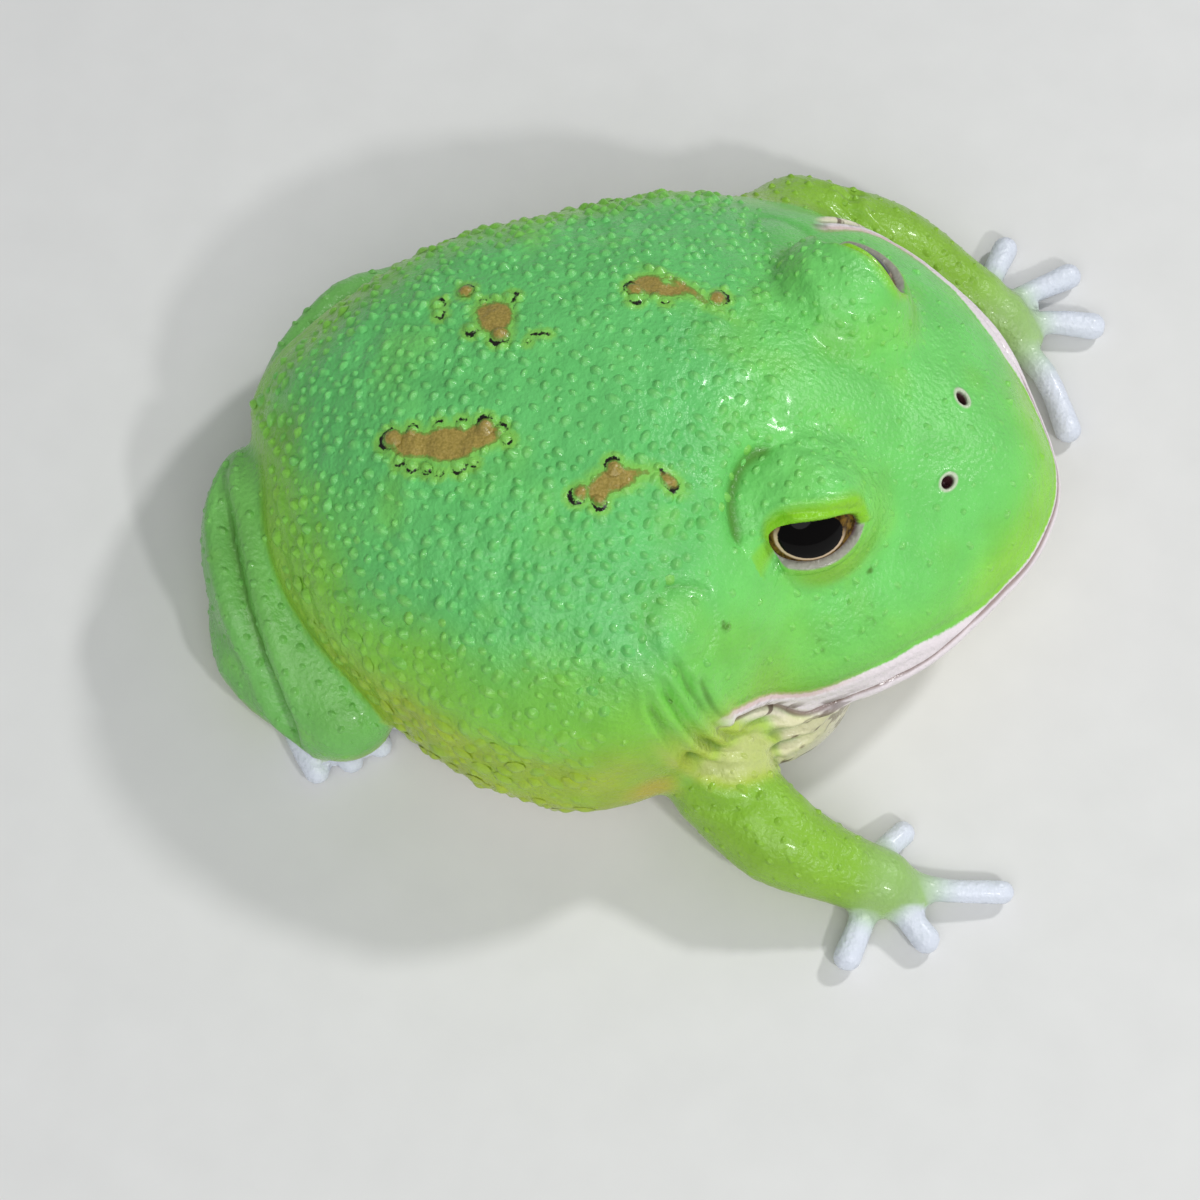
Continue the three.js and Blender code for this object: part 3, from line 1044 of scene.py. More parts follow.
@dataclass
class Eyelids:
    """The slit between the lids, drawn on the front of the eyeball."""

    upper_knots: tuple = (
        (-5.2, -1.95), (-4.7, -0.9), (-3.8, 0.4), (-1.8, 1.45),
        (0.0, 2.0), (1.6, 2.3), (3.67, 2.14), (5.2, 1.15),
    )
    lower_knots: tuple = (
        (-5.2, -1.95), (-4.4, -2.4), (-2.2, -2.72), (0.0, -2.61),
        (1.6, -2.25), (2.6, -1.75), (3.6, -0.9), (5.2, 1.1),
    )
    knot_degree: int = 4
    half_length: float = 5.2
    end_gap: float = 0.4
    front_from: float = 1.2
    taper: float = 1.15
    taper_from: float = 4.4
    lip_round: float = 0.75
    corner_ease: float = 1.4
    clear_of_eye: float = 0.04
    sunk: float = 0.55
    fold_rear: float = 1.9
    fold_front: float = 1.2

    def edge(self, local: np.ndarray) -> tuple[np.ndarray, np.ndarray]:
        """How far each point lies outside the slit, and whether it is below it.

        Args:
            local: Points seen from the eye.

        Returns:
            Millimetres, less than zero in the slit, and shares from 0 above to 1 below.
        """
        u = np.clip(local[:, 0], -self.half_length, self.half_length)
        over = local[:, 1] - bend_of(self.upper_knots, self.knot_degree)(u)
        under = bend_of(self.lower_knots, self.knot_degree)(u) - local[:, 1]
        beside = np.abs(local[:, 0]) - self.half_length - self.end_gap
        taper = self.taper * np.maximum(0.0, np.abs(local[:, 0]) - self.taper_from)
        edge = np.maximum(np.maximum(over, under) + taper, beside)
        behind = np.maximum(0.0, self.front_from - local[:, 2])
        return edge + behind, fade(under - over, -0.4, 0.4) * fade(local[:, 0], -5.2, -4.6)

    def press(self, spots: np.ndarray, form: FrogForm) -> np.ndarray:
        """Opens the slits and raises the fold of the upper lids.

        Args:
            spots: Points of the skin.
            form: The outline.

        Returns:
            The moved points.
        """
        moved = spots.copy()
        for socket in form.sockets:
            local = socket.local(moved)
            radius = np.linalg.norm(local, axis=1)
            near = (radius < socket.hood + 1.6) & (local[:, 2] > 0.4)
            edge, below = self.edge(local)
            rear = fade(local[:, 0], -1.6, -3.8)
            round_here = self.lip_round + self.corner_ease * rear
            share = np.clip(edge / round_here, 0.0, 1.0)
            thick = socket.hood - socket.radius
            rounded = np.sqrt(1.0 - (1.0 - share) ** 2)
            profile = rounded + (share ** 2 - rounded) * rear
            lip = socket.radius + self.clear_of_eye + (thick - self.clear_of_eye) * profile
            hidden = socket.radius - self.sunk * fade(edge, 0.0, -0.22)
            target = np.where(edge > 0.0, lip, hidden)
            cut = near & (edge < round_here)
            scale = np.where(cut, np.minimum(target, radius) / np.maximum(radius, 1e-6), 1.0)
            along = fade(local[:, 0], -4.5, 4.5)
            crest = self.fold_rear + (self.fold_front - self.fold_rear) * along
            fold = 0.34 * bump(edge, crest, 0.42) - 0.22 * bump(edge, crest - 0.75, 0.3)
            fold += 0.12 * bump(edge, crest + 1.1, 0.5)
            fold *= (1.0 - below) * near * (edge > 0.0) * fade(np.abs(local[:, 0] + 0.2), 5.2, 3.6)
            fold -= 0.2 * below * near * bump(edge, 1.15, 0.35)
            scale += fold / np.maximum(radius, 1e-6)
            moved = socket.centre + (moved - socket.centre) * scale[:, None]
        return moved


@dataclass
class Nostrils:
    """Two slanting oval pits with a pale rim."""

    target: tuple[float, float, float] = (31.0, 4.6, 22.4)
    long: float = 0.78
    short: float = 0.55
    depth: float = 1.1
    slant: float = 1.0

    def reach(self, spots: np.ndarray, form: FrogForm) -> np.ndarray:
        """Distance from the middle of the nearest nostril, as a share of its edge.

        Args:
            spots: Points of the skin.
            form: The outline.

        Returns:
            1 at the edge of a pit, more outside.
        """
        nearest = np.full(len(spots), FAR)
        for side in Side:
            offset = spots - form.on_skin(on_side(self.target, side))
            way = np.array([math.cos(self.slant), -side.value * math.sin(self.slant), 0.0])
            along = offset @ way
            rest = np.sqrt(np.maximum((offset**2).sum(axis=1) - along**2, 0.0))
            nearest = np.minimum(nearest, np.hypot(along / self.long, rest / self.short))
        return nearest

    def press(self, spots: np.ndarray, normals: np.ndarray, form: FrogForm) -> np.ndarray:
        """Sinks the pits and raises their rims.

        Args:
            spots: Points of the skin.
            normals: Outward ways.
            form: The outline.

        Returns:
            The moved points.
        """
        reach = self.reach(spots, form)
        height = 0.22 * bump(reach, 1.25, 0.42) - self.depth * fade(reach, 1.05, 0.45)
        return spots + normals * height[:, None]


@dataclass
class MouthLine:
    """The crease of the mouth and the pale lip above it, which climb to the corners."""

    corner_x: float = 14.0
    climb: float = 6.3
    climb_from: float = 21.5
    left_lift: float = 1.8
    crease: float = 0.42
    band: tuple[float, float, float] = (0.6, 2.0, 1.2)

    def height(self, spots: np.ndarray, form: FrogForm) -> np.ndarray:
        """Height of the crease.

        Args:
            spots: Points of the skin.
            form: The outline.

        Returns:
            Heights above the ground.
        """
        x = spots[:, 0]
        lift = self.climb * fade(x, self.climb_from, self.corner_x - 0.5)
        left = self.left_lift * fade(spots[:, 1], HEAD_AXIS_Y + 4.0, HEAD_AXIS_Y + 12.0)
        return form.mouth_height(x) + lift + left * fade(x, 37.0, 30.0)

    def rise(self, spots: np.ndarray, form: FrogForm) -> np.ndarray:
        """Height above the crease.

        Args:
            spots: Points of the skin.
            form: The outline.

        Returns:
            Millimetres.
        """
        return spots[:, 2] - self.height(spots, form) + 0.12 * lumps(spots, 2.6, 5)

    def over_lip(self, spots: np.ndarray, form: FrogForm) -> np.ndarray:
        """Height above the top of the pale lip.

        Args:
            spots: Points of the skin.
            form: The outline.

        Returns:
            Millimetres, less than zero on the lip and below it.
        """
        least, more, less = self.band
        x = spots[:, 0]
        band = least + more * fade(x, 35.5, 29.0) - less * fade(x, 22.0, 15.0)
        return self.rise(spots, form) - band

    def along(self, spots: np.ndarray) -> np.ndarray:
        """How much of a mouth there is, from 0 behind the corner to 1.

        Args:
            spots: Points of the skin.

        Returns:
            Shares from 0 to 1.
        """
        return fade(spots[:, 0], self.corner_x - 0.8, self.corner_x + 1.4)

    def press(self, spots: np.ndarray, normals: np.ndarray, form: FrogForm, on_body: np.ndarray) -> np.ndarray:
        """Cuts the crease and raises the lips.

        Args:
            spots: Points of the skin.
            normals: Outward ways.
            form: The outline.
            on_body: 1 on head and trunk, 0 on the limbs.

        Returns:
            The moved points.
        """
        rise = self.rise(spots, form)
        over = self.over_lip(spots, form)
        height = 0.34 * bump(rise, -0.75, 0.55) - self.crease * bump(rise, 0.1, 0.24)
        height += 0.16 * bump(over, -0.6, 0.45) - 0.14 * bump(over, 0.3, 0.35)
        height *= self.along(spots) * on_body
        return spots + normals * height[:, None]


@dataclass(frozen=True)
class Crease:
    """A soft groove along a path, with a low roll on both sides."""

    path: tuple[tuple[float, float, float], ...]
    depth: float
    width: float
    roll: float = 0.3

    def reach(self, spots: np.ndarray) -> np.ndarray:
        """Distance to the path, made larger towards its ends so that the groove runs out.

        Args:
            spots: Points of the skin.

        Returns:
            Millimetres.
        """
        distance, along = Tube(self.path, (0.0, 0.0), 12).measure(spots)
        ends = fade(along, 0.0, 0.22) * fade(along, 1.0, 0.85)
        return distance + 1.6 * self.width * (1.0 - ends)

    def height(self, spots: np.ndarray) -> np.ndarray:
        """How far the skin moves outwards.

        Args:
            spots: Points of the skin.

        Returns:
            Millimetres.
        """
        reach = self.reach(spots)
        roll = self.roll * self.depth * bump(reach, 2.4 * self.width, self.width)
        return roll - self.depth * bump(reach, 0.0, self.width)


def across_head(crease: Crease) -> Crease:
    """The same crease on the other side of the head.

    Args:
        crease: One crease.

    Returns:
        Its mirror image.
    """
    path = tuple((x, 2.0 * HEAD_AXIS_Y - y, z) for x, y, z in crease.path)
    return Crease(path, crease.depth, crease.width, crease.roll)


NEAR_THIGH = Crease(
    (
        (-34.4, -3.6, 14.6), (-33.4, -9.6, 14.9), (-31.4, -14.6, 14.1), (-29.3, -18.9, 12.5),
        (-27.5, -21.9, 10.2), (-25.0, -24.8, 7.4), (-22.6, -27.0, 4.0),
    ),
    depth=1.35, width=0.85,
)
FAR_THIGH = Crease(tuple((x + 2.4, -2.4 - y, z) for x, y, z in NEAR_THIGH.path), depth=1.35, width=0.85)
HIP_FOLD = Crease(
    ((-29.2, -5.6, 20.6), (-25.4, -13.8, 20.0), (-22.4, -19.4, 16.6), (-19.4, -22.8, 12.4)),
    depth=0.3, width=0.5,
)
ARM_FOLD = Crease(
    ((8.6, -21.6, 19.5), (10.6, -24.4, 16.2), (13.4, -25.2, 12.6), (17.4, -24.0, 9.0)),
    depth=0.55, width=0.6,
)
ELBOW_FOLD = Crease(((12.2, -26.6, 9.6), (15.6, -27.8, 10.4), (18.4, -25.6, 10.2)), depth=0.3, width=0.5)
DRUM_FOLD = Crease(((6.9, -16.1, 28.6), (9.2, -15.2, 28.1), (11.6, -14.9, 27.0)), depth=0.32, width=0.45)
BROW_FOLD = Crease(
    (
        (14.0, -11.2, 26.2), (12.9, -9.5, 27.9), (12.0, -7.3, 29.0), (11.9, -5.2, 29.4),
        (12.7, -2.7, 29.5), (15.6, -0.4, 28.9),
    ),
    depth=0.85, width=0.9, roll=0.2,
)
JOWL_FOLDS = (
    Crease(
        (
            (8.2, -19.5, 26.2), (9.5, -20.8, 24.6), (11.0, -22.0, 22.3), (12.6, -22.7, 19.3),
            (14.4, -22.2, 14.4), (16.6, -20.9, 11.3), (19.2, -19.1, 10.1), (21.8, -17.3, 10.1),
            (24.3, -15.1, 9.7),
        ),
        depth=0.5, width=0.42, roll=0.5,
    ),
    Crease(
        (
            (7.5, -21.1, 25.2), (8.9, -22.8, 23.3), (10.7, -23.8, 20.1), (12.7, -23.9, 16.2),
            (15.1, -22.9, 12.3), (17.8, -21.1, 9.5), (20.4, -19.2, 8.5), (22.3, -17.6, 8.2),
        ),
        depth=0.5, width=0.42, roll=0.5,
    ),
    Crease(
        (
            (6.7, -22.5, 24.5), (8.1, -24.3, 22.3), (10.1, -25.1, 18.5), (12.5, -24.4, 13.1),
            (15.3, -24.0, 11.7), (18.0, -21.9, 8.8), (20.0, -19.4, 5.8),
        ),
        depth=0.42, width=0.42, roll=0.5,
    ),
    Crease(
        (
            (11.2, -20.6, 23.6), (11.9, -21.3, 22.2), (12.6, -21.9, 20.9), (13.4, -22.1, 18.8),
            (14.4, -21.9, 16.8),
        ),
        depth=0.32, width=0.35, roll=0.5,
    ),
)


@dataclass
class SoftForms:
    """Eardrum, creases of the flank and limbs, and the slow unevenness of a soft body."""

    eardrum: tuple[float, float, float] = (10.4, 19.5, 23.6)
    eardrum_radius: float = 2.9
    creases: tuple[Crease, ...] = (
        NEAR_THIGH, FAR_THIGH, HIP_FOLD, ARM_FOLD, ELBOW_FOLD, DRUM_FOLD, BROW_FOLD, across_head(BROW_FOLD),
    )
    jowl_folds: tuple[Crease, ...] = JOWL_FOLDS + tuple(across_head(fold) for fold in JOWL_FOLDS)

    def fold_reach(self, spots: np.ndarray) -> np.ndarray:
        """Distance to the nearest fold of the jowls.

        Args:
            spots: Points of the skin.

        Returns:
            Millimetres.
        """
        nearest = np.full(len(spots), FAR)
        for fold in self.jowl_folds:
            nearest = np.minimum(nearest, fold.reach(spots))
        return nearest

    def drum_reach(self, spots: np.ndarray, form: FrogForm) -> np.ndarray:
        """Distance from the middle of the nearer eardrum.

        Args:
            spots: Points of the skin.
            form: The outline.

        Returns:
            Millimetres.
        """
        nearest = np.full(len(spots), FAR)
        for side in Side:
            middle = form.on_skin(on_side(self.eardrum, side))
            nearest = np.minimum(nearest, np.linalg.norm(spots - middle, axis=1))
        return nearest

    def press(self, spots: np.ndarray, normals: np.ndarray, form: FrogForm, warty: np.ndarray) -> np.ndarray:
        """Moves the skin by its slow and middle forms.

        Args:
            spots: Points of the skin.
            normals: Outward ways.
            form: The outline.
            warty: 1 where warts stand.

        Returns:
            The moved points.
        """
        drum = self.drum_reach(spots, form)
        rim = self.eardrum_radius + 0.35 + 0.3 * lumps(spots, 2.5, 31)
        height = 0.14 * fade(drum, self.eardrum_radius, 0.6)
        height -= 0.24 * bump(drum, rim, 0.55) * fade(lumps(spots, 3.4, 32), -0.9, 0.4)
        slow = 0.2 * lumps(spots, 7.0, 11) + 0.12 * lumps(spots, 3.1, 12)
        streaks = lumps(spots * np.array([1.0, 0.42, 0.42]), 1.0, 13)
        pebbles = lumps(spots * np.array([1.0, 0.7, 0.7]), 1.25, 14)
        height += slow * 0.8 + (0.03 + 0.1 * warty) * streaks + 0.11 * warty * pebbles - 0.26 * warty
        for crease in self.creases + self.jowl_folds:
            height += crease.height(spots)
        for socket in form.sockets:
            height += self.brow_rows(spots, socket)
        return spots + normals * height[:, None]

    @staticmethod
    def brow_rows(spots: np.ndarray, socket: EyeSocket) -> np.ndarray:
        """Low rows of bumps on the brow, drawn out along the lid.

        Args:
            spots: Points of the skin.
            socket: The eye below the brow.

        Returns:
            Millimetres outwards.
        """
        local = socket.local(spots)
        on_brow = fade(np.linalg.norm(local, axis=1), 9.6, 8.0) * fade(local[:, 1], 3.2, 4.6)
        return 0.2 * on_brow * lumps(local * np.array([0.5, 1.0, 1.0]), 0.95, 51)


class SkinPainter:
    """Works out colours and masks for any point of the skin."""

    mint = np.array(colour(106, 202, 112))
    leaf = np.array(colour(130, 203, 72))
    olive = np.array(colour(166, 190, 40))
    head_green = np.array(colour(122, 216, 106))
    arm_green = np.array(colour(142, 190, 58))
    leg_green = np.array(colour(122, 194, 100))
    rim_green = np.array(colour(150, 216, 64))
    # Painted highlight that the tips of the warts move towards.
    wart_glint = np.array(colour(168, 224, 112))
    pale = np.array(colour(226, 232, 244))
    cream = np.array(colour(232, 226, 200))
    yellow = np.array(colour(206, 210, 96))
    orange = np.array(colour(226, 166, 50))

    # Each wart beside a tan patch: place, radius, and the way of its dark rim in degrees.
    border_warts: tuple[tuple[float, float, float, float], ...] = (
        (-18.1, -6.3, 0.90, -157), (-16.4, -5.6, 0.53, 102), (-14.2, -5.1, 0.48, 102), (-12.2, -4.8, 0.53, 110),
        (-10.1, -4.8, 0.80, 121), (-8.9, -5.0, 0.58, 68), (-8.2, -5.6, 0.53, -42), (-17.1, -8.1, 0.53, -70),
        (-15.8, -8.6, 0.53, -90), (-14.5, -8.8, 0.48, -84), (-13.3, -9.1, 0.37, -78), (-11.8, -8.4, 0.64, -67),
        (-10.6, -8.0, 0.43, -59), (-14.9, 9.3, 0.69, 93), (-17.1, 7.6, 0.58, 62), (-16.8, 6.6, 0.53, -40),
        (-10.9, 8.8, 0.64, -3), (-13.5, 5.0, 0.64, -78), (-10.8, 4.5, 0.90, -93), (-8.2, 4.0, 0.27, -78),
        (-13.0, 8.0, 0.43, 124), (-0.1, 11.0, 0.80, 136), (0.1, 10.1, 0.64, -79), (2.7, 10.3, 0.37, -74),
        (7.1, 11.9, 0.80, 41), (-0.9, -9.7, 0.80, -133), (0.8, -10.0, 0.69, -70), (1.5, -7.0, 0.74, 122),
        (6.4, -7.2, 0.69, -41),
    )
    # The dark rim lies between two circles that are moved apart, as shares of the radius.
    rim_outward: float = 0.46
    rim_inward: float = 0.1
    rim_hole: float = 0.92
    # From this radius on, such a wart is tan itself, inside its rim by this much.
    tan_from: float = 0.66
    tan_inside: float = 0.15
    # Each short black stroke: the places of its two ends.
    dark_bars: tuple[tuple[float, float, float, float], ...] = (
        (-7.9, 4.6, -6.5, 4.9), (5.4, -6.4, 6.9, -7.7), (-11.4, 3.6, -10.2, 3.5), (-19.1, -6.9, -18.4, -5.4),
    )
    bar_half_width: float = 0.16
    # Each oval of a tan patch: place, half length, half width, and its turn in radians.
    tan_ovals: tuple[tuple[float, float, float, float, float], ...] = (
        (-15.9, -6.8, 2.07, 1.15, 3.09), (-13.2, -6.6, 2.6, 1.49, 0.06), (-10.6, -5.8, 1.9, 1.03, 0.32),
        (-11.7, 6.4, 1.76, 1.49, -1.36), (-12.6, 7.0, 0.90, 0.86, 2.37), (0.9, 12.0, 1.24, 1.03, -2.94),
        (2.7, 11.6, 1.75, 0.75, 0.23), (4.4, 12.1, 1.64, 0.34, -0.43), (0.6, -9.1, 1.04, 0.92, -2.00),
        (1.8, -8.0, 1.85, 0.92, 0.40), (3.3, -7.2, 1.21, 0.34, 0.28), (6.1, -7.0, 0.76, 0.34, 2.68),
    )
    # Each small mark on the head: place and size.
    blemishes: tuple[tuple[float, float, float], ...] = (
        (24.9, -10.5, 1.5), (21.2, -14.0, 0.8), (16.9, -17.4, 0.8),
        (24.2, -7.5, 0.7), (25.6, -0.3, 0.6), (13.0, -16.6, 1.0),
    )
    armpit: tuple[float, float, float] = (8.6, -26.6, 10.8)
    # Distances that the finish reads are cut off here.
    farthest: float = 6.0

    def __init__(self, form: FrogForm) -> None:
        """Keeps the outline and the fine forms.

        Args:
            form: The outline.
        """
        self.form = form
        self.lids = Eyelids()
        self.nose = Nostrils()
        self.mouth = MouthLine()
        self.soft = SoftForms()

    def on_body(self, spots: np.ndarray) -> np.ndarray:
        """1 on trunk and head, 0 on the limbs.

        Args:
            spots: Points of the skin.

        Returns:
            Shares from 0 to 1.
        """
        return fade(self.form.flesh(spots) - self.form.body(spots), -0.4, 0.8)

    def digit_share(self, spots: np.ndarray) -> np.ndarray:
        """0 on body and limbs, rising to 1 along each finger and toe.

        Args:
            spots: Points of the skin.

        Returns:
            Shares from 0 to 1.
        """
        share = np.zeros(len(spots))
        for limb in self.form.limbs:
            palm, palm_along = limb.pieces[-1].measure(spots)
            near_palm = fade(palm, 1.2, 0.2) * (0.04 + 0.2 * palm_along)
            share = np.maximum(share, near_palm)
            for tube in limb.digits:
                distance, along = tube.measure(spots)
                near = fade(distance, 1.0, 0.3)
                share = np.maximum(share, near * (0.2 + 0.8 * fade(along, 0.1, 0.65)))
        return share

    def spot_fields(self, spots: np.ndarray) -> tuple[np.ndarray, np.ndarray]:
        """Distances to the tan patches and to the black edging on the back.

        Args:
            spots: Points of the skin.

        Returns:
            Millimetres to the tan and to the black, less than zero inside.
        """
        flat = spots[:, :2]
        top = fade(spots[:, 2], 22.0, 18.0) * 6.0
        tan = np.full(len(spots), FAR)
        for x, y, long, wide, turn in self.tan_ovals:
            offset = flat - np.array([x, y])
            along = offset[:, 0] * math.cos(turn) + offset[:, 1] * math.sin(turn)
            across = offset[:, 1] * math.cos(turn) - offset[:, 0] * math.sin(turn)
            reach = np.hypot(along / long, across / wide)
            tan = np.minimum(tan, (reach - 1.0) * min(long, wide))
        dark = np.full(len(spots), FAR)
        for x, y, radius, angle in self.border_warts:
            lean = np.array([math.cos(math.radians(angle)), math.sin(math.radians(angle))]) * radius
            middle = np.array([x, y])
            outer = np.linalg.norm(flat - middle - self.rim_outward * lean, axis=1) - radius
            inner = np.linalg.norm(flat - middle + self.rim_inward * lean, axis=1) - self.rim_hole * radius
            dark = np.minimum(dark, np.maximum(outer, -inner))
            if radius > self.tan_from:
                tan = np.minimum(tan, inner + self.tan_inside)
        for x, y, far_x, far_y in self.dark_bars:
            start, span = np.array([x, y]), np.array([far_x - x, far_y - y])
            along = np.clip(((flat - start) @ span) / (span @ span), 0.0, 1.0)
            apart = np.linalg.norm(flat - start - along[:, None] * span, axis=1)
            dark = np.minimum(dark, apart - self.bar_half_width)
        return np.minimum(tan, self.farthest) + top, np.minimum(dark, self.farthest) + top

    def warty(self, spots: np.ndarray, normals: np.ndarray) -> np.ndarray:
        """1 where warts stand close together, 0 where there are none.

        Args:
            spots: Points of the skin.
            normals: Outward ways.

        Returns:
            Shares from 0 to 1.
        """
        rear_of_head = fade(spots[:, 0] + 0.35 * np.abs(spots[:, 1] - HEAD_AXIS_Y), 18.0, 12.0)
        low = fade(spots[:, 2], 2.0, 4.5) * fade(normals[:, 2], -0.65, -0.25)
        clear_of_limbs = fade(self.form.flesh(spots), 1.4, 3.2)
        return rear_of_head * low * (1.0 - fade(spots[:, 0], 12.0, 15.0)) * clear_of_limbs

    def pimply(self, spots: np.ndarray, normals: np.ndarray) -> np.ndarray:
        """1 where small pimples are scattered: on the limbs and brows, and thinly on the head.

        Args:
            spots: Points of the skin.
            normals: Outward ways.

        Returns:
            Shares from 0 to 1.
        """
        limbs = (1.0 - self.on_body(spots)) * (1.0 - fade(self.digit_share(spots), 0.02, 0.12))
        brow = np.zeros(len(spots))
        edge = np.full(len(spots), FAR)
        for socket in self.form.sockets:
            at = on_side(self.form.brow_at, socket.side)
            brow = np.maximum(brow, fade(np.linalg.norm(spots - at, axis=1), 9.4, 8.2))
            local = socket.local(spots)
            edge = np.minimum(edge, np.where(local[:, 2] > -1.0, self.lids.edge(local)[0], FAR))
        brow *= fade(edge, 2.0, 2.8) * fade(normals[:, 2], 0.1, 0.4)
        head = 0.4 * fade(normals[:, 2], 0.3, 0.7) * self.on_body(spots) * fade(edge, 2.2, 3.2)
        above_lip = fade(self.mouth.over_lip(spots, self.form), 1.0, 3.0)
        clear = fade(self.nose.reach(spots, self.form), 1.9, 3.0)
        facing_up = fade(normals[:, 2], -0.3, 0.1)
        return np.maximum(0.85 * limbs * facing_up, np.maximum(brow, head) * above_lip * clear)

    @staticmethod
    def jowl_rear(spots: np.ndarray) -> np.ndarray:
        """Where the cream of the jowl ends towards the rear, at each height.

        Args:
            spots: Points of the skin.

        Returns:
            How far ahead.
        """
        return np.clip(18.2 - 0.62 * (spots[:, 2] - 11.0), 13.2, 18.8)

    def tint(self, spots: np.ndarray, normals: np.ndarray) -> np.ndarray:
        """The slow colour of the skin.

        Args:
            spots: Points of the skin.
            normals: Outward ways.

        Returns:
            Red, green, blue and alpha, one row a point.
        """
        down = 1.0 - normals[:, 2] + 0.12 * lumps(spots, 6.0, 21)
        body = self.on_body(spots)
        tint = toward(np.tile(self.mint, (len(spots), 1)), self.leaf, fade(down, 0.12, 0.5))
        low = fade(down, 0.45, 1.05) * (0.45 + 0.55 * fade(spots[:, 0], -24.0, -12.0))
        tint = toward(tint, self.olive, low)
        head = self.head_green + (self.leaf - self.head_green) * fade(down, 0.35, 0.9)[:, None]
        tint = toward(tint, head, fade(spots[:, 0], 6.0, 14.0) * 0.75)
        tint = toward(tint, self.leaf, fade(lumps(spots, 3.4, 23), 0.1, 1.3) * 0.4)
        snout = fade(spots[:, 0], 31.0, 36.0) * fade(down, 0.15, 0.6) * 0.8
        tint = toward(tint, self.rim_green, snout)
        tint = toward(tint, self.limb_tint(spots, normals, down), 1.0 - body)
        gold = 0.35 * fade(lumps(spots, 1.5, 27), 0.4, 1.6) * fade(down, 0.05, 0.4)
        tint = toward(tint, self.rim_green, gold)
        tint[:, :3] *= (1.0 + 0.06 * lumps(spots, 1.7, 25) + 0.05 * lumps(spots, 4.5, 26))[:, None]
        jaw = fade(self.mouth.rise(spots, self.form), 0.3, -0.4)
        jaw = jaw * fade(spots[:, 0] - self.jowl_rear(spots), -0.4, 0.6)
        throat = np.maximum(jaw, fade(normals[:, 2], -0.35, -0.7))
        tint = toward(tint, self.cream, throat * body)
        reach = self.soft.fold_reach(spots)
        near_side = fade(spots[:, 1], HEAD_AXIS_Y, HEAD_AXIS_Y - 6.0)
        folds = fade(reach, 2.6, 1.2) * fade(spots[:, 2], 21.0, 15.0) * np.maximum(body, near_side)
        tint = toward(tint, self.yellow, folds * (1.0 - 0.6 * jaw) * 0.6)
        root = fade(reach, 1.8, 0.6) * fade(spots[:, 2], 18.0, 13.0) * (1.0 - body) * near_side
        tint = toward(tint, self.cream, root * 0.3)
        armpit = fade(np.linalg.norm(spots - np.array(self.armpit), axis=1), 3.6, 0.8)
        tint = toward(tint, self.orange, armpit * 0.45)
        tint = toward(tint, self.pale, self.digit_share(spots))
        tint[:, 3] = 1.0
        return tint

    def limb_tint(self, spots: np.ndarray, normals: np.ndarray, down: np.ndarray) -> np.ndarray:
        """The slow colour of arms and legs.

        Args:
            spots: Points of the skin.
            normals: Outward ways.
            down: How far the skin faces down, 0 where it faces up.

        Returns:
            Red, green, blue and alpha, one row a point.
        """
        ahead = fade(spots[:, 0], -16.0, -6.0)[:, None]
        limb = self.leg_green + (self.arm_green - self.leg_green) * ahead
        limb = limb + (self.leaf - limb) * fade(normals[:, 2], 0.4, 0.95)[:, None] * 0.15
        return toward(limb, self.olive, fade(down, 0.9, 1.5) * 0.7)

    def dress(self, piece: bpy.types.Object, spots: np.ndarray, normals: np.ndarray) -> None:
        """Writes every attribute that the skin's finish reads.

        Args:
            piece: The object.
            spots: Its points, on the smooth skin.
            normals: The smooth skin's outward ways.
        """
        body = self.on_body(spots)
        write_colour(piece, "tint", self.tint(spots, normals))
        tan, dark = self.spot_fields(spots)
        write_number(piece, "spot_tan", tan)
        write_number(piece, "spot_dark", dark)
        rise = self.mouth.rise(spots, self.form)
        write_number(piece, "lip_rise", self.mouth.over_lip(spots, self.form))
        write_number(piece, "lip_line", rise)
        write_number(piece, "lip_on", self.mouth.along(spots) * body)
        write_number(piece, "corner", fade(spots[:, 0], 27.0, 20.0))
        streaks = fade(rise, 1.6, 0.4) * fade(rise, -9.0, -6.0)
        streaks *= fade(spots[:, 0] - self.jowl_rear(spots), -0.4, 0.8)
        write_number(piece, "streaks", streaks * fade(spots[:, 0], 28.0, 21.0) * body)
        edge = np.full(len(spots), FAR)
        below = np.zeros(len(spots))
        lid_on = np.zeros(len(spots))
        for socket in self.form.sockets:
            local = socket.local(spots)
            one, under = self.lids.edge(local)
            lid_on = np.maximum(lid_on, fade(np.linalg.norm(local[:, :2], axis=1), 6.0, 4.8))
            near = (np.linalg.norm(local, axis=1) < socket.hood + 2.0) & (local[:, 2] > 0.0)
            closer = near & (one < edge)
            edge[closer] = one[closer]
            below[closer] = (under * fade(local[:, 0], -4.7, -3.7))[closer]
        write_number(piece, "lid_edge", np.minimum(edge, self.farthest))
        write_number(piece, "lid_lower", below)
        write_number(piece, "lid_on", lid_on)
        write_number(piece, "nostril", np.minimum(self.nose.reach(spots, self.form), 4.0))
        # Painted shade of folds and grooves, weaker on the limbs, with a few real marks of the head.
        on_limbs = 0.3 + 0.4 * fade(spots[:, 0], 0.0, -6.0)
        write_number(piece, "crease", self.crease(spots) * np.maximum(body, on_limbs))

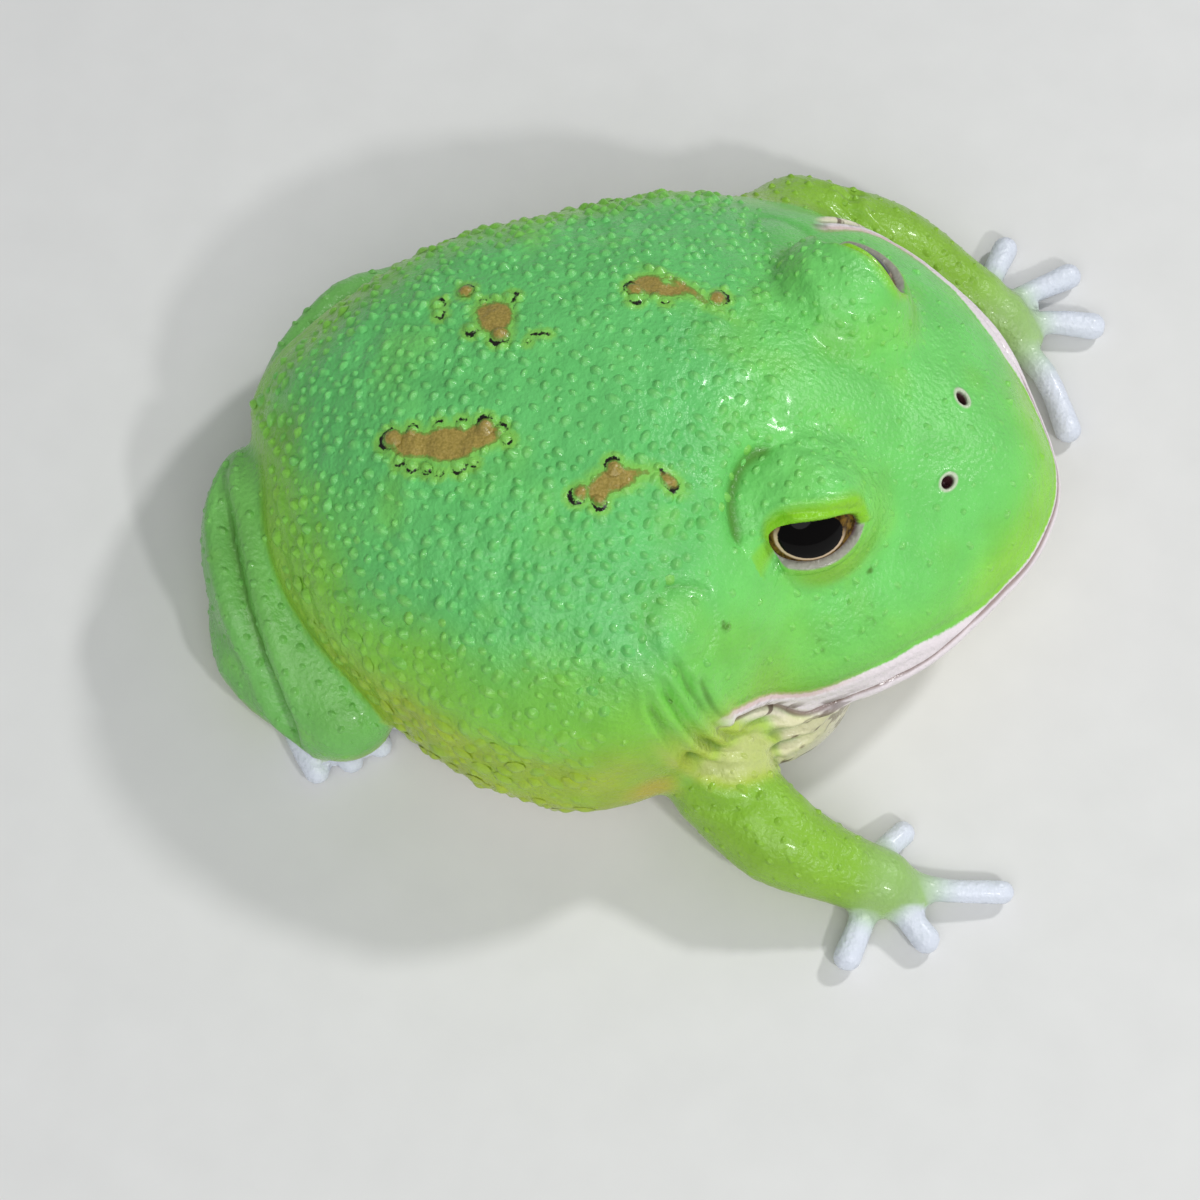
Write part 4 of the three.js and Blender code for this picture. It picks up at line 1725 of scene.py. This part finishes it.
    def crease(self, spots: np.ndarray) -> np.ndarray:
        """Where shade is painted into folds and grooves, round the eardrum and behind the brows, and where a
        few real marks darken the head.

        Args:
            spots: Points of the skin.

        Returns:
            Shares from 0 to 1.
        """
        drum = self.soft.drum_reach(spots, self.form)
        ring = 0.5 * bump(drum, self.soft.eardrum_radius + 0.35, 0.6) * fade(lumps(spots, 3.4, 32), -0.9, 0.6)
        folds = 0.8 * bump(self.soft.fold_reach(spots), 0.0, 0.38)
        valley = np.zeros(len(spots))
        for socket in self.form.sockets:
            at = on_side(self.form.brow_at, socket.side)
            reach_brow = np.linalg.norm((spots - at) / np.array(self.form.brow_half), axis=1)
            rear = fade(spots[:, 0], 15.5, 12.0)
            valley = np.maximum(valley, bump(reach_brow, 1.1, 0.14) * rear)
        marks = np.zeros(len(spots))
        for x, y, size in self.blemishes:
            apart = np.hypot(spots[:, 0] - x, spots[:, 1] - y)
            marks = np.maximum(marks, fade(apart, size, 0.0) * fade(lumps(spots, 0.5, 41), -0.2, 0.5))
        marks *= fade(spots[:, 2], 12.0, 14.0)
        for crease in self.soft.creases:
            groove = bump(crease.reach(spots), 0.0, crease.width * 0.8)
            marks = np.maximum(marks, min(crease.depth, 1.0) * groove)
        return np.clip(ring * 0.6 + marks + folds + valley * 0.4, 0.0, 1.0)


# ------------------------------------------------------------------ pieces


@dataclass(frozen=True)
class Room:
    """The box of the solids, which the skin and the warts are held inside, in metres."""

    low: tuple[float, float, float]
    high: tuple[float, float, float]

    def hold(self, spots: np.ndarray) -> np.ndarray:
        """Keeps points inside the box.

        Args:
            spots: Points in millimetres of the drawing frame.

        Returns:
            The same points, held inside.
        """
        return np.clip(spots, np.array(self.low) / MM - SHIFT, np.array(self.high) / MM - SHIFT)


@dataclass(frozen=True)
class FineMesh:
    """How far round each feature the skin's mesh is split once or twice, in millimetres."""

    eye: float = 8.4
    eye_front: float = -1.0
    nostril: float = 4.0
    nostril_edge: float = 2.6
    lip_middle: float = 1.0
    lip: float = 3.0
    mouth_crease: float = 0.7
    mouth_from: float = 12.5
    crease_from: float = 13.0
    body_share: float = 0.4
    patch: float = 0.9
    fold: float = 1.8
    eardrum: float = 4.4
    beyond_hood: float = 1.2
    lid_front: float = 0.4
    lid_edge: tuple[float, float] = (-0.7, 1.6)


@dataclass
class Skin:
    """One closed skin over trunk, head, arms and legs."""

    form: FrogForm
    painter: SkinPainter
    room: Room
    fine: FineMesh = FineMesh()
    voxel: float = 0.6
    fatten: float = 0.2
    eye_fatten: float = 0.6
    merge_within: float = 1e-6
    least_slope: float = 0.1
    longest_step: float = 0.7
    ground_height: float = 0.01
    flesh_nodes: tuple[str, ...] = (
        "torso", "head", "lower_jaw",
        "upper_arm_right", "forearm_right", "hand_right", "thigh_right", "shank_right", "foot_right",
        "upper_arm_left", "forearm_left", "hand_left", "thigh_left", "shank_left", "foot_left",
    )
    eye_nodes: tuple[str, ...] = ("eye_right", "eye_left")

    def build(self, nodes: dict[str, bpy.types.Object]) -> bpy.types.Object:
        """Makes the skin from copies of the solids.

        Args:
            nodes: The solids by name.

        Returns:
            The skin.
        """
        skin = self.cast(nodes)
        LOG.info("skin cast: %d points", len(skin.data.vertices))
        self.relax(skin, 4)
        self.settle(skin, 2)
        for choose in (self.near_features, self.near_edges):
            self.refine(skin, choose)
        self.settle(skin, 2)
        self.relax(skin, 1)
        self.settle(skin, 1)
        self.shape(skin)
        only(skin)
        bpy.ops.object.shade_smooth()
        LOG.info("skin: %d points, %d faces", len(skin.data.vertices), len(skin.data.polygons))
        return skin

    def cast(self, nodes: dict[str, bpy.types.Object]) -> bpy.types.Object:
        """Copies the solids, fattens them a little and casts them as one shell.

        Args:
            nodes: The solids by name.

        Returns:
            The rough shell.
        """
        copies = []
        for name in self.flesh_nodes + self.eye_nodes:
            only(nodes[name])
            bpy.ops.object.duplicate()
            copy = bpy.context.view_layer.objects.active
            copy.parent = None
            copies.append(copy)
            grow = self.eye_fatten if name in self.eye_nodes else self.fatten
            with editing():
                bpy.ops.mesh.select_all(action="SELECT")
                bpy.ops.mesh.remove_doubles(threshold=self.merge_within)
                bpy.ops.transform.shrink_fatten(value=grow * MM)
        only(*copies)
        bpy.ops.object.join()
        skin = bpy.context.view_layer.objects.active
        skin.name = "frog_skin"
        skin.data.name = "frog_skin"
        remesh = skin.modifiers.new("cast", "REMESH")
        remesh.mode = "VOXEL"
        remesh.voxel_size = self.voxel * MM
        bpy.ops.object.modifier_apply(modifier=remesh.name)
        self.keep_outer_shell(skin)
        return skin

    @staticmethod
    def keep_outer_shell(skin: bpy.types.Object) -> None:
        """Deletes whatever isn't joined to the highest point of the shell.

        Args:
            skin: The shell.
        """
        only(skin)
        spots = read_spots(skin)
        chosen = np.zeros(len(spots), dtype=bool)
        chosen[np.argmax(spots[:, 2])] = True
        skin.data.vertices.foreach_set("select", chosen)
        bpy.context.tool_settings.mesh_select_mode = (True, False, False)
        with editing():
            bpy.ops.mesh.select_linked()
            bpy.ops.mesh.select_all(action="INVERT")
            bpy.ops.mesh.delete(type="VERT")

    @staticmethod
    def relax(skin: bpy.types.Object, rounds: int) -> None:
        """Evens out the mesh.

        Args:
            skin: The skin.
            rounds: How often.
        """
        only(skin)
        with editing():
            bpy.ops.mesh.select_all(action="SELECT")
            bpy.ops.mesh.vertices_smooth(factor=0.5, repeat=rounds)

    def settle(self, skin: bpy.types.Object, rounds: int) -> None:
        """Lays every point on the outline.

        Args:
            skin: The skin.
            rounds: How often.
        """
        spots = read_spots(skin)
        for _ in range(rounds):
            here, slope = self.form.outward(spots)
            steep = np.maximum((slope**2).sum(axis=1), self.least_slope)
            step = np.clip(here / steep, -self.longest_step, self.longest_step)
            spots = spots - slope * step[:, None]
            spots[:, 2] = np.maximum(spots[:, 2], 0.0)
        write_spots(skin, spots)

    def near_features(self, spots: np.ndarray) -> np.ndarray:
        """Where the first refining is needed: eyes, nostrils, mouth, spots and eardrums.

        Args:
            spots: Middles of faces.

        Returns:
            True where faces are split.
        """
        fine, painter = self.fine, self.painter
        chosen = painter.nose.reach(spots, self.form) < fine.nostril
        for socket in self.form.sockets:
            local = socket.local(spots)
            chosen |= (np.linalg.norm(local, axis=1) < fine.eye) & (local[:, 2] > fine.eye_front)
        lip = np.abs(painter.mouth.rise(spots, self.form) - fine.lip_middle) < fine.lip
        body = painter.on_body(spots) > fine.body_share
        chosen |= lip & (spots[:, 0] > fine.mouth_from) & body
        tan, dark = painter.spot_fields(spots)
        chosen |= np.minimum(tan, dark) < fine.patch
        chosen |= painter.soft.fold_reach(spots) < fine.fold
        chosen |= painter.soft.drum_reach(spots, self.form) < fine.eardrum
        return chosen

    def near_edges(self, spots: np.ndarray) -> np.ndarray:
        """Where the second refining is needed: lid edges, nostrils and the mouth crease.

        Args:
            spots: Middles of faces.

        Returns:
            True where faces are split.
        """
        fine, painter = self.fine, self.painter
        chosen = painter.nose.reach(spots, self.form) < fine.nostril_edge
        for socket in self.form.sockets:
            local = socket.local(spots)
            edge = painter.lids.edge(local)[0]
            near = np.linalg.norm(local, axis=1) < socket.hood + fine.beyond_hood
            near &= local[:, 2] > fine.lid_front
            chosen |= near & (edge > fine.lid_edge[0]) & (edge < fine.lid_edge[1])
        crease = np.abs(painter.mouth.rise(spots, self.form)) < fine.mouth_crease
        body = painter.on_body(spots) > fine.body_share
        return chosen | (crease & (spots[:, 0] > fine.crease_from) & body)

    @staticmethod
    def refine(skin: bpy.types.Object, choose: Callable[[np.ndarray], np.ndarray]) -> None:
        """Splits the faces that a rule picks out.

        Args:
            skin: The skin.
            choose: Takes the middles of faces and says which to split.
        """
        mesh = skin.data
        middles = np.zeros(len(mesh.polygons) * 3)
        mesh.polygons.foreach_get("center", middles)
        chosen = choose(middles.reshape(-1, 3) / MM - SHIFT)
        only(skin)
        bpy.context.tool_settings.mesh_select_mode = (False, False, True)
        with editing():
            bpy.ops.mesh.select_all(action="DESELECT")
        mesh.polygons.foreach_set("select", chosen)
        with editing():
            bpy.ops.mesh.subdivide(number_cuts=1, ngon=False)
            bpy.ops.mesh.select_all(action="SELECT")
            bpy.ops.mesh.quads_convert_to_tris()

    def shape(self, skin: bpy.types.Object) -> None:
        """Adds the fine forms and writes the colours.

        Args:
            skin: The settled skin.
        """
        smooth = read_spots(skin)
        normals = unit(self.form.outward(smooth)[1])
        ground = smooth[:, 2] < self.ground_height
        warty = self.painter.warty(smooth, normals)
        body = self.painter.on_body(smooth)
        self.painter.dress(skin, smooth, normals)
        spots = self.painter.soft.press(smooth, normals, self.form, warty)
        spots = self.painter.mouth.press(spots, normals, self.form, body)
        spots = self.painter.nose.press(spots, normals, self.form)
        spots = self.painter.lids.press(spots, self.form)
        spots[:, 2] = np.maximum(spots[:, 2], 0.0)
        spots[ground] = smooth[ground]
        write_spots(skin, self.room.hold(spots))

    def dress(self, skin: bpy.types.Object, finish: bpy.types.Material) -> None:
        """Gives the skin its finish and its place in the frame.

        Args:
            skin: The skin.
            finish: Its material.
        """
        skin.data.materials.clear()
        skin.data.materials.append(finish)
        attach(skin, "root")
        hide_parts(*self.flesh_nodes)


@dataclass
class WartCoat:
    """Thousands of small rounded warts over back and flanks."""

    painter: SkinPainter
    room: Room
    seed: int = 7
    around: int = 8
    rings: tuple[float, ...] = (1.0, 0.74, 0.48, 0.22)
    roundness: float = 1.5
    candidates: int = 60000
    sunk: float = 0.03
    radius: float = 0.54
    radius_on_flank: float = 0.28
    radius_range: tuple[float, float] = (0.6, 1.25)
    gap: float = 1.2
    gap_on_flank: float = 0.45
    gap_range: tuple[float, float] = (0.72, 1.2)
    height_range: tuple[float, float] = (0.42, 0.8)
    stretch_range: tuple[float, float] = (0.8, 1.3)
    pimple_radius: float = 0.42
    pimple_range: tuple[float, float] = (0.7, 1.2)
    pimple_gap: float = 1.25
    pimple_gap_sparse: float = 2.2
    pimples_below: float = 0.3
    least_share: float = 0.1
    border_swell: float = 1.15
    flat_on_flank: float = 0.4
    cell: float = 2.0
    # How much painted highlight a wart's tip gets.
    tip_glint: float = 0.16
    paint_reach: float = 0.9
    map_middle: tuple[float, float, float] = (0.0, 0.0, 12.0)
    map_reach: float = 0.47
    patch_radius: float = 0.0015

    def sites(self, skin: bpy.types.Object) -> tuple[np.ndarray, np.ndarray, np.ndarray]:
        """Scatters wart sites over the skin, none too close to another.

        Args:
            skin: The finished skin.

        Returns:
            Points, outward ways and radii.
        """
        rng = np.random.default_rng(self.seed)
        mesh = skin.data
        mesh.calc_loop_triangles()
        corners = np.zeros(len(mesh.loop_triangles) * 3, dtype=np.int32)
        mesh.loop_triangles.foreach_get("vertices", corners)
        corners = corners.reshape(-1, 3)
        spots = read_spots(skin)
        ways = np.zeros(len(mesh.vertices) * 3)
        mesh.vertices.foreach_get("normal", ways)
        ways = ways.reshape(-1, 3)
        first, second, third = (spots[corners[:, i]] for i in range(3))
        area = np.linalg.norm(np.cross(second - first, third - first), axis=1)
        picked = rng.choice(len(corners), self.candidates, p=area / area.sum())
        share = rng.dirichlet((1.0, 1.0, 1.0), self.candidates)
        points = np.einsum("ij,ijk->ik", share, spots[corners[picked]])
        normals = unit(np.einsum("ij,ijk->ik", share, ways[corners[picked]]))
        density = self.painter.warty(points, normals)
        pimples = self.painter.pimply(points, normals)
        flank = fade(normals[:, 2], 0.8, 0.3)
        radius = self.radius + self.radius_on_flank * flank
        radius = radius * rng.uniform(*self.radius_range, self.candidates)
        spacing = self.gap + self.gap_on_flank * flank
        spacing = spacing * rng.uniform(*self.gap_range, self.candidates)
        small = density < self.pimples_below
        pimple = self.pimple_radius * rng.uniform(*self.pimple_range, self.candidates)
        radius = np.where(small, pimple, radius)
        share = np.where(small, np.maximum(pimples, density), density)
        spacing = np.where(small, self.pimple_gap + self.pimple_gap_sparse * (1.0 - share), spacing)
        tan, dark = self.painter.spot_fields(points)
        wanted = (share > self.least_share) & (tan > 0.1) & (dark > 0.0)
        border = self.border_sites(points, normals)
        radius[border] = [wart[2] * self.border_swell for wart in self.painter.border_warts]
        return self.thin_out(points, normals, radius, spacing, wanted, border)

    def border_sites(self, points: np.ndarray, normals: np.ndarray) -> np.ndarray:
        """The candidates nearest to the warts that edge the painted spots.

        Args:
            points: Candidate sites, which are moved onto those warts.
            normals: Their outward ways.

        Returns:
            Numbers of the chosen candidates.
        """
        chosen = []
        high = np.where(normals[:, 2] > 0.5, 0.0, FAR)
        for x, y, _, _ in self.painter.border_warts:
            apart = np.hypot(points[:, 0] - x, points[:, 1] - y) + high
            nearest = int(np.argmin(apart))
            points[nearest, :2] = (x, y)
            chosen.append(nearest)
        return np.array(chosen)

    def thin_out(
        self,
        points: np.ndarray,
        normals: np.ndarray,
        radius: np.ndarray,
        spacing: np.ndarray,
        wanted: np.ndarray,
        first: np.ndarray,
    ) -> tuple[np.ndarray, np.ndarray, np.ndarray]:
        """Keeps only sites that stand far enough apart.

        Args:
            points: Candidate sites.
            normals: Their outward ways.
            radius: Their radii.
            spacing: How far each keeps from the others.
            wanted: Which may be kept at all.
            first: Which are kept in any case.

        Returns:
            The kept points, ways and radii.
        """
        kept: list[int] = []
        grid: dict[tuple[int, int, int], list[int]] = {}
        keys = np.floor(points / self.cell).astype(int)
        for index in first:
            grid.setdefault(tuple(keys[index]), []).append(index)
            kept.append(index)
        for index in np.nonzero(wanted)[0]:
            key = tuple(keys[index])
            around = itertools.product(*((place - 1, place, place + 1) for place in key))
            others = (other for cell in around for other in grid.get(cell, ()))
            gaps = (points[index] - points[other] for other in others)
            if all(gap @ gap >= spacing[index] ** 2 for gap in gaps):
                grid.setdefault(key, []).append(index)
                kept.append(index)
        return points[kept], normals[kept], radius[kept]

    def build(self, skin: bpy.types.Object) -> bpy.types.Object:
        """Sets one small dome on every site.

        Args:
            skin: The finished skin.

        Returns:
            The coat of warts.
        """
        points, normals, radius = self.sites(skin)
        rng = np.random.default_rng(self.seed + 1)
        steep = 1.0 - self.flat_on_flank * fade(normals[:, 2], 0.8, 0.3)
        height = radius * steep * rng.uniform(*self.height_range, len(radius))
        stretch = rng.uniform(*self.stretch_range, (len(radius), 1, 1))
        dome, faces = self.dome()
        side = unit(np.cross(normals, np.array([0.31, 0.9, 0.17])))
        over = np.cross(normals, side)
        reach = dome[:, 0][None, :, None] * side[:, None, :] * stretch
        reach = reach + dome[:, 1][None, :, None] * over[:, None, :] / stretch
        reach = reach * radius[:, None, None]
        lift = dome[:, 2][None, :] * height[:, None] - self.sunk
        spots = points[:, None, :] + reach + lift[:, :, None] * normals[:, None, :]
        spots = spots.reshape(-1, 3)
        count = len(dome)
        every = (faces[None, :, :] + (np.arange(len(points)) * count)[:, None, None]).reshape(-1, 3)
        mesh = bpy.data.meshes.new("wart_coat")
        mesh.from_pydata(((self.room.hold(spots) + SHIFT) * MM).tolist(), [], every.tolist())
        coat = bpy.data.objects.new("wart_coat", mesh)
        bpy.context.collection.objects.link(coat)
        base = np.repeat(points, count, axis=0)
        ways = np.repeat(normals, count, axis=0)
        self.painter.dress(coat, base + (spots - base) * self.paint_reach, ways)
        tops = np.tile(dome[:, 2], len(points))
        self.paint_glints(coat, base, ways, tops)
        self.unwrap(coat, points, dome, every)
        only(coat)
        bpy.ops.object.shade_smooth()
        LOG.info("warts: %d domes, %d faces", len(points), len(mesh.polygons))
        return coat

    def paint_glints(self, coat: bpy.types.Object, base: np.ndarray, ways: np.ndarray, tops: np.ndarray) -> None:
        """Paints a highlight on the tips of the warts, a little lighter than the skin.

        Args:
            coat: The coat of warts.
            base: The site of each point's wart.
            ways: Its outward way.
            tops: 1 at the tip of a wart, 0 at its foot.
        """
        # Painted highlight: each wart's tip moves towards a paler green.
        share = self.tip_glint * tops * self.painter.on_body(base)
        tint = toward(self.painter.tint(base, ways), self.painter.wart_glint, share)
        write_colour(coat, "tint", tint)

    def dome(self) -> tuple[np.ndarray, np.ndarray]:
        """One wart of radius and height 1, pointing up.

        Returns:
            Points, and triangles that face outwards.
        """
        points = []
        for ring in self.rings:
            height = (1.0 - ring * ring) ** self.roundness
            for step in range(self.around):
                angle = 2.0 * math.pi * step / self.around
                points.append((ring * math.cos(angle), ring * math.sin(angle), height))
        points.append((0.0, 0.0, 1.0))
        faces = []
        for row in range(len(self.rings) - 1):
            for step in range(self.around):
                ahead = (step + 1) % self.around
                low, high = row * self.around, (row + 1) * self.around
                faces.append((low + step, low + ahead, high + ahead))
                faces.append((low + step, high + ahead, high + step))
        last = (len(self.rings) - 1) * self.around
        for step in range(self.around):
            faces.append((last + step, last + (step + 1) % self.around, len(points) - 1))
        return np.array(points), np.array(faces)

    def unwrap(self, coat: bpy.types.Object, points: np.ndarray, dome: np.ndarray, faces: np.ndarray) -> None:
        """Gives each wart its own small patch where it stands on the body.

        Args:
            coat: The coat of warts.
            points: The sites.
            dome: The points of one wart.
            faces: All triangles.
        """
        way = unit(points - np.array(self.map_middle))
        tilt = np.arccos(np.clip(way[:, 2], -1.0, 1.0)) / math.pi
        turn = np.arctan2(way[:, 1], way[:, 0])
        root = 0.5 + self.map_reach * tilt[:, None] * np.stack([np.cos(turn), np.sin(turn)], axis=1)
        every = root[:, None, :] + dome[None, :, :2] * self.patch_radius
        layer = coat.data.uv_layers.new(name="OFBake")
        layer.data.foreach_set("uv", every.reshape(-1, 2)[faces.ravel()].ravel())

    def dress(self, coat: bpy.types.Object, finish: bpy.types.Material) -> None:
        """Gives the warts the skin's finish and their place in the frame.

        Args:
            coat: The coat of warts.
            finish: Its material.
        """
        coat.data.materials.append(finish)
        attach(coat, "root")


@dataclass
class Eye:
    """One eyeball with a slightly raised clear front."""

    socket: EyeSocket
    segments: int = 96
    rings: int = 64
    bulge: float = 0.12
    bulge_from: float = 0.72

    @property
    def name(self) -> str:
        """Name of the solid that this eye stands for."""
        return f"eye_{self.socket.side.name.lower()}"

    def build(self) -> bpy.types.Object:
        """Makes the eyeball.

        Returns:
            The eyeball.
        """
        centre = (self.socket.centre + SHIFT) * MM
        bpy.ops.object.select_all(action="DESELECT")
        bpy.ops.mesh.primitive_uv_sphere_add(
            segments=self.segments,
            ring_count=self.rings,
            radius=self.socket.radius * MM,
            location=centre,
        )
        eye = bpy.context.view_layer.objects.active
        eye.name = f"{self.name}_ball"
        bpy.ops.object.transform_apply(location=True, rotation=True, scale=True)
        spots = read_spots(eye)
        local = self.socket.local(spots)
        radius = np.linalg.norm(local, axis=1)
        front = fade(local[:, 2] / radius, self.bulge_from, 1.0)
        swell = 1.0 + self.bulge * front / radius
        write_spots(eye, self.socket.centre + (spots - self.socket.centre) * swell[:, None])
        for name, values in zip(("gaze_u", "gaze_v", "gaze_out"), local.T):
            write_number(eye, name, values)
        bpy.ops.object.shade_smooth()
        LOG.info("%s: %d faces", eye.name, len(eye.data.polygons))
        return eye

    def dress(self, eye: bpy.types.Object, finish: bpy.types.Material) -> None:
        """Gives the eyeball its finish and its place in the frame.

        Args:
            eye: The eyeball.
            finish: Its material.
        """
        eye.data.materials.append(finish)
        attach(eye, "root")
        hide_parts(self.name)


@dataclass(frozen=True)
class Lamp:
    """One soft round lamp that points at the frog, in metres and watts."""

    name: str
    at: tuple[float, float, float]
    size: float
    power: float

    def hang(self) -> None:
        """Hangs the lamp."""
        bulb = bpy.data.lights.new(self.name, "AREA")
        bulb.shape = "DISK"
        bulb.size = self.size
        bulb.energy = self.power
        lamp = bpy.data.objects.new(self.name, bulb)
        bpy.context.collection.objects.link(lamp)
        lamp.location = self.at
        lamp.rotation_mode = "QUATERNION"
        lamp.rotation_quaternion = (-Vector(self.at)).to_track_quat("-Z", "Y")


@dataclass
class Studio:
    """Pale floor, soft lights and the camera."""

    azimuth: float = 11.0
    elevation: float = 66.0
    distance: float = 320.0
    view_angle: float = 0.34525
    target: tuple[float, float, float] = (0.0, -5.5, 0.0)
    sensor_width: float = 36.0
    nearest: float = 0.01
    farthest: float = 20.0
    floor_half: float = 1.2
    floor_below: float = 0.0002
    lamps: tuple[Lamp, ...] = (
        Lamp("key_lamp", (0.31, 0.30, 0.45), 0.06, 1.3),
        Lamp("near_lamp", (0.30, -0.30, 0.42), 0.045, 0.8),
        Lamp("soft_lamp", (0.05, -0.45, 0.62), 0.6, 2.0),
    )
    air_colour: tuple[float, float, float, float] = (0.94, 0.97, 1.0, 1.0)
    air_strength: float = 0.3

    def camera(self) -> None:
        """Sets the camera at the photograph's angle."""
        turn, lift = math.radians(self.azimuth), math.radians(self.elevation)
        back = Vector((math.sin(turn) * math.cos(lift), -math.cos(turn) * math.cos(lift), math.sin(lift)))
        target = Vector((np.array(self.target) + SHIFT) * MM)
        lens = bpy.data.cameras.new("studio_camera")
        lens.sensor_width = self.sensor_width
        lens.angle = self.view_angle
        lens.clip_start = self.nearest
        lens.clip_end = self.farthest
        camera = bpy.data.objects.new("studio_camera", lens)
        bpy.context.collection.objects.link(camera)
        camera.location = target + back * self.distance * MM
        camera.rotation_mode = "QUATERNION"
        camera.rotation_quaternion = (-back).to_track_quat("-Z", "Y")
        bpy.context.scene.camera = camera

    def floor(self, finish: bpy.types.Material) -> None:
        """Lays the floor.

        Args:
            finish: Its material.
        """
        bpy.ops.object.select_all(action="DESELECT")
        bpy.ops.mesh.primitive_plane_add(size=2.0 * self.floor_half, location=(0.0, 0.0, -self.floor_below))
        floor = bpy.context.view_layer.objects.active
        floor.name = "studio_floor"
        bpy.ops.object.transform_apply(location=True, rotation=True, scale=True)
        floor.data.materials.append(finish)
        floor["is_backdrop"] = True

    def lights(self) -> None:
        """Sets the lamps and the even light round them."""
        for lamp in self.lamps:
            lamp.hang()
        world = bpy.data.worlds.new("studio_world")
        world.use_nodes = True
        air = world.node_tree.nodes["Background"]
        air.inputs["Color"].default_value = self.air_colour
        air.inputs["Strength"].default_value = self.air_strength
        bpy.context.scene.world = world
        bpy.context.scene.view_settings.view_transform = "Standard"

    def build(self) -> None:
        """Makes the whole studio."""
        self.camera()
        self.floor(FloorFinish().make())
        self.lights()
        LOG.info("studio: floor, lamps and camera")


def corners(pair: tuple[Vector, Vector]) -> list[list[float]]:
    """A box as plain lists.

    Args:
        pair: Its lowest and highest corner.

    Returns:
        The same two corners.
    """
    return [[float(part) for part in corner] for corner in pair]


def main() -> None:
    """Builds the frog and its studio in order."""
    logging.basicConfig(level=logging.INFO, format="%(name)s: %(message)s")
    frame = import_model()
    solid_box = corners(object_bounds())
    room = Room(*solid_box)
    form = FrogForm()
    painter = SkinPainter(form)
    skin_builder = Skin(form, painter, room)
    skin = skin_builder.build(frame["nodes"])
    skin_finish = SkinFinish().make()
    skin_builder.dress(skin, skin_finish)
    coat_builder = WartCoat(painter, room)
    coat_builder.dress(coat_builder.build(skin), skin_finish)
    eye_finish = EyeFinish().make()
    for socket in form.sockets:
        eye_builder = Eye(socket)
        eye_builder.dress(eye_builder.build(), eye_finish)
    Studio().build()


if __name__ == "__main__":
    main()
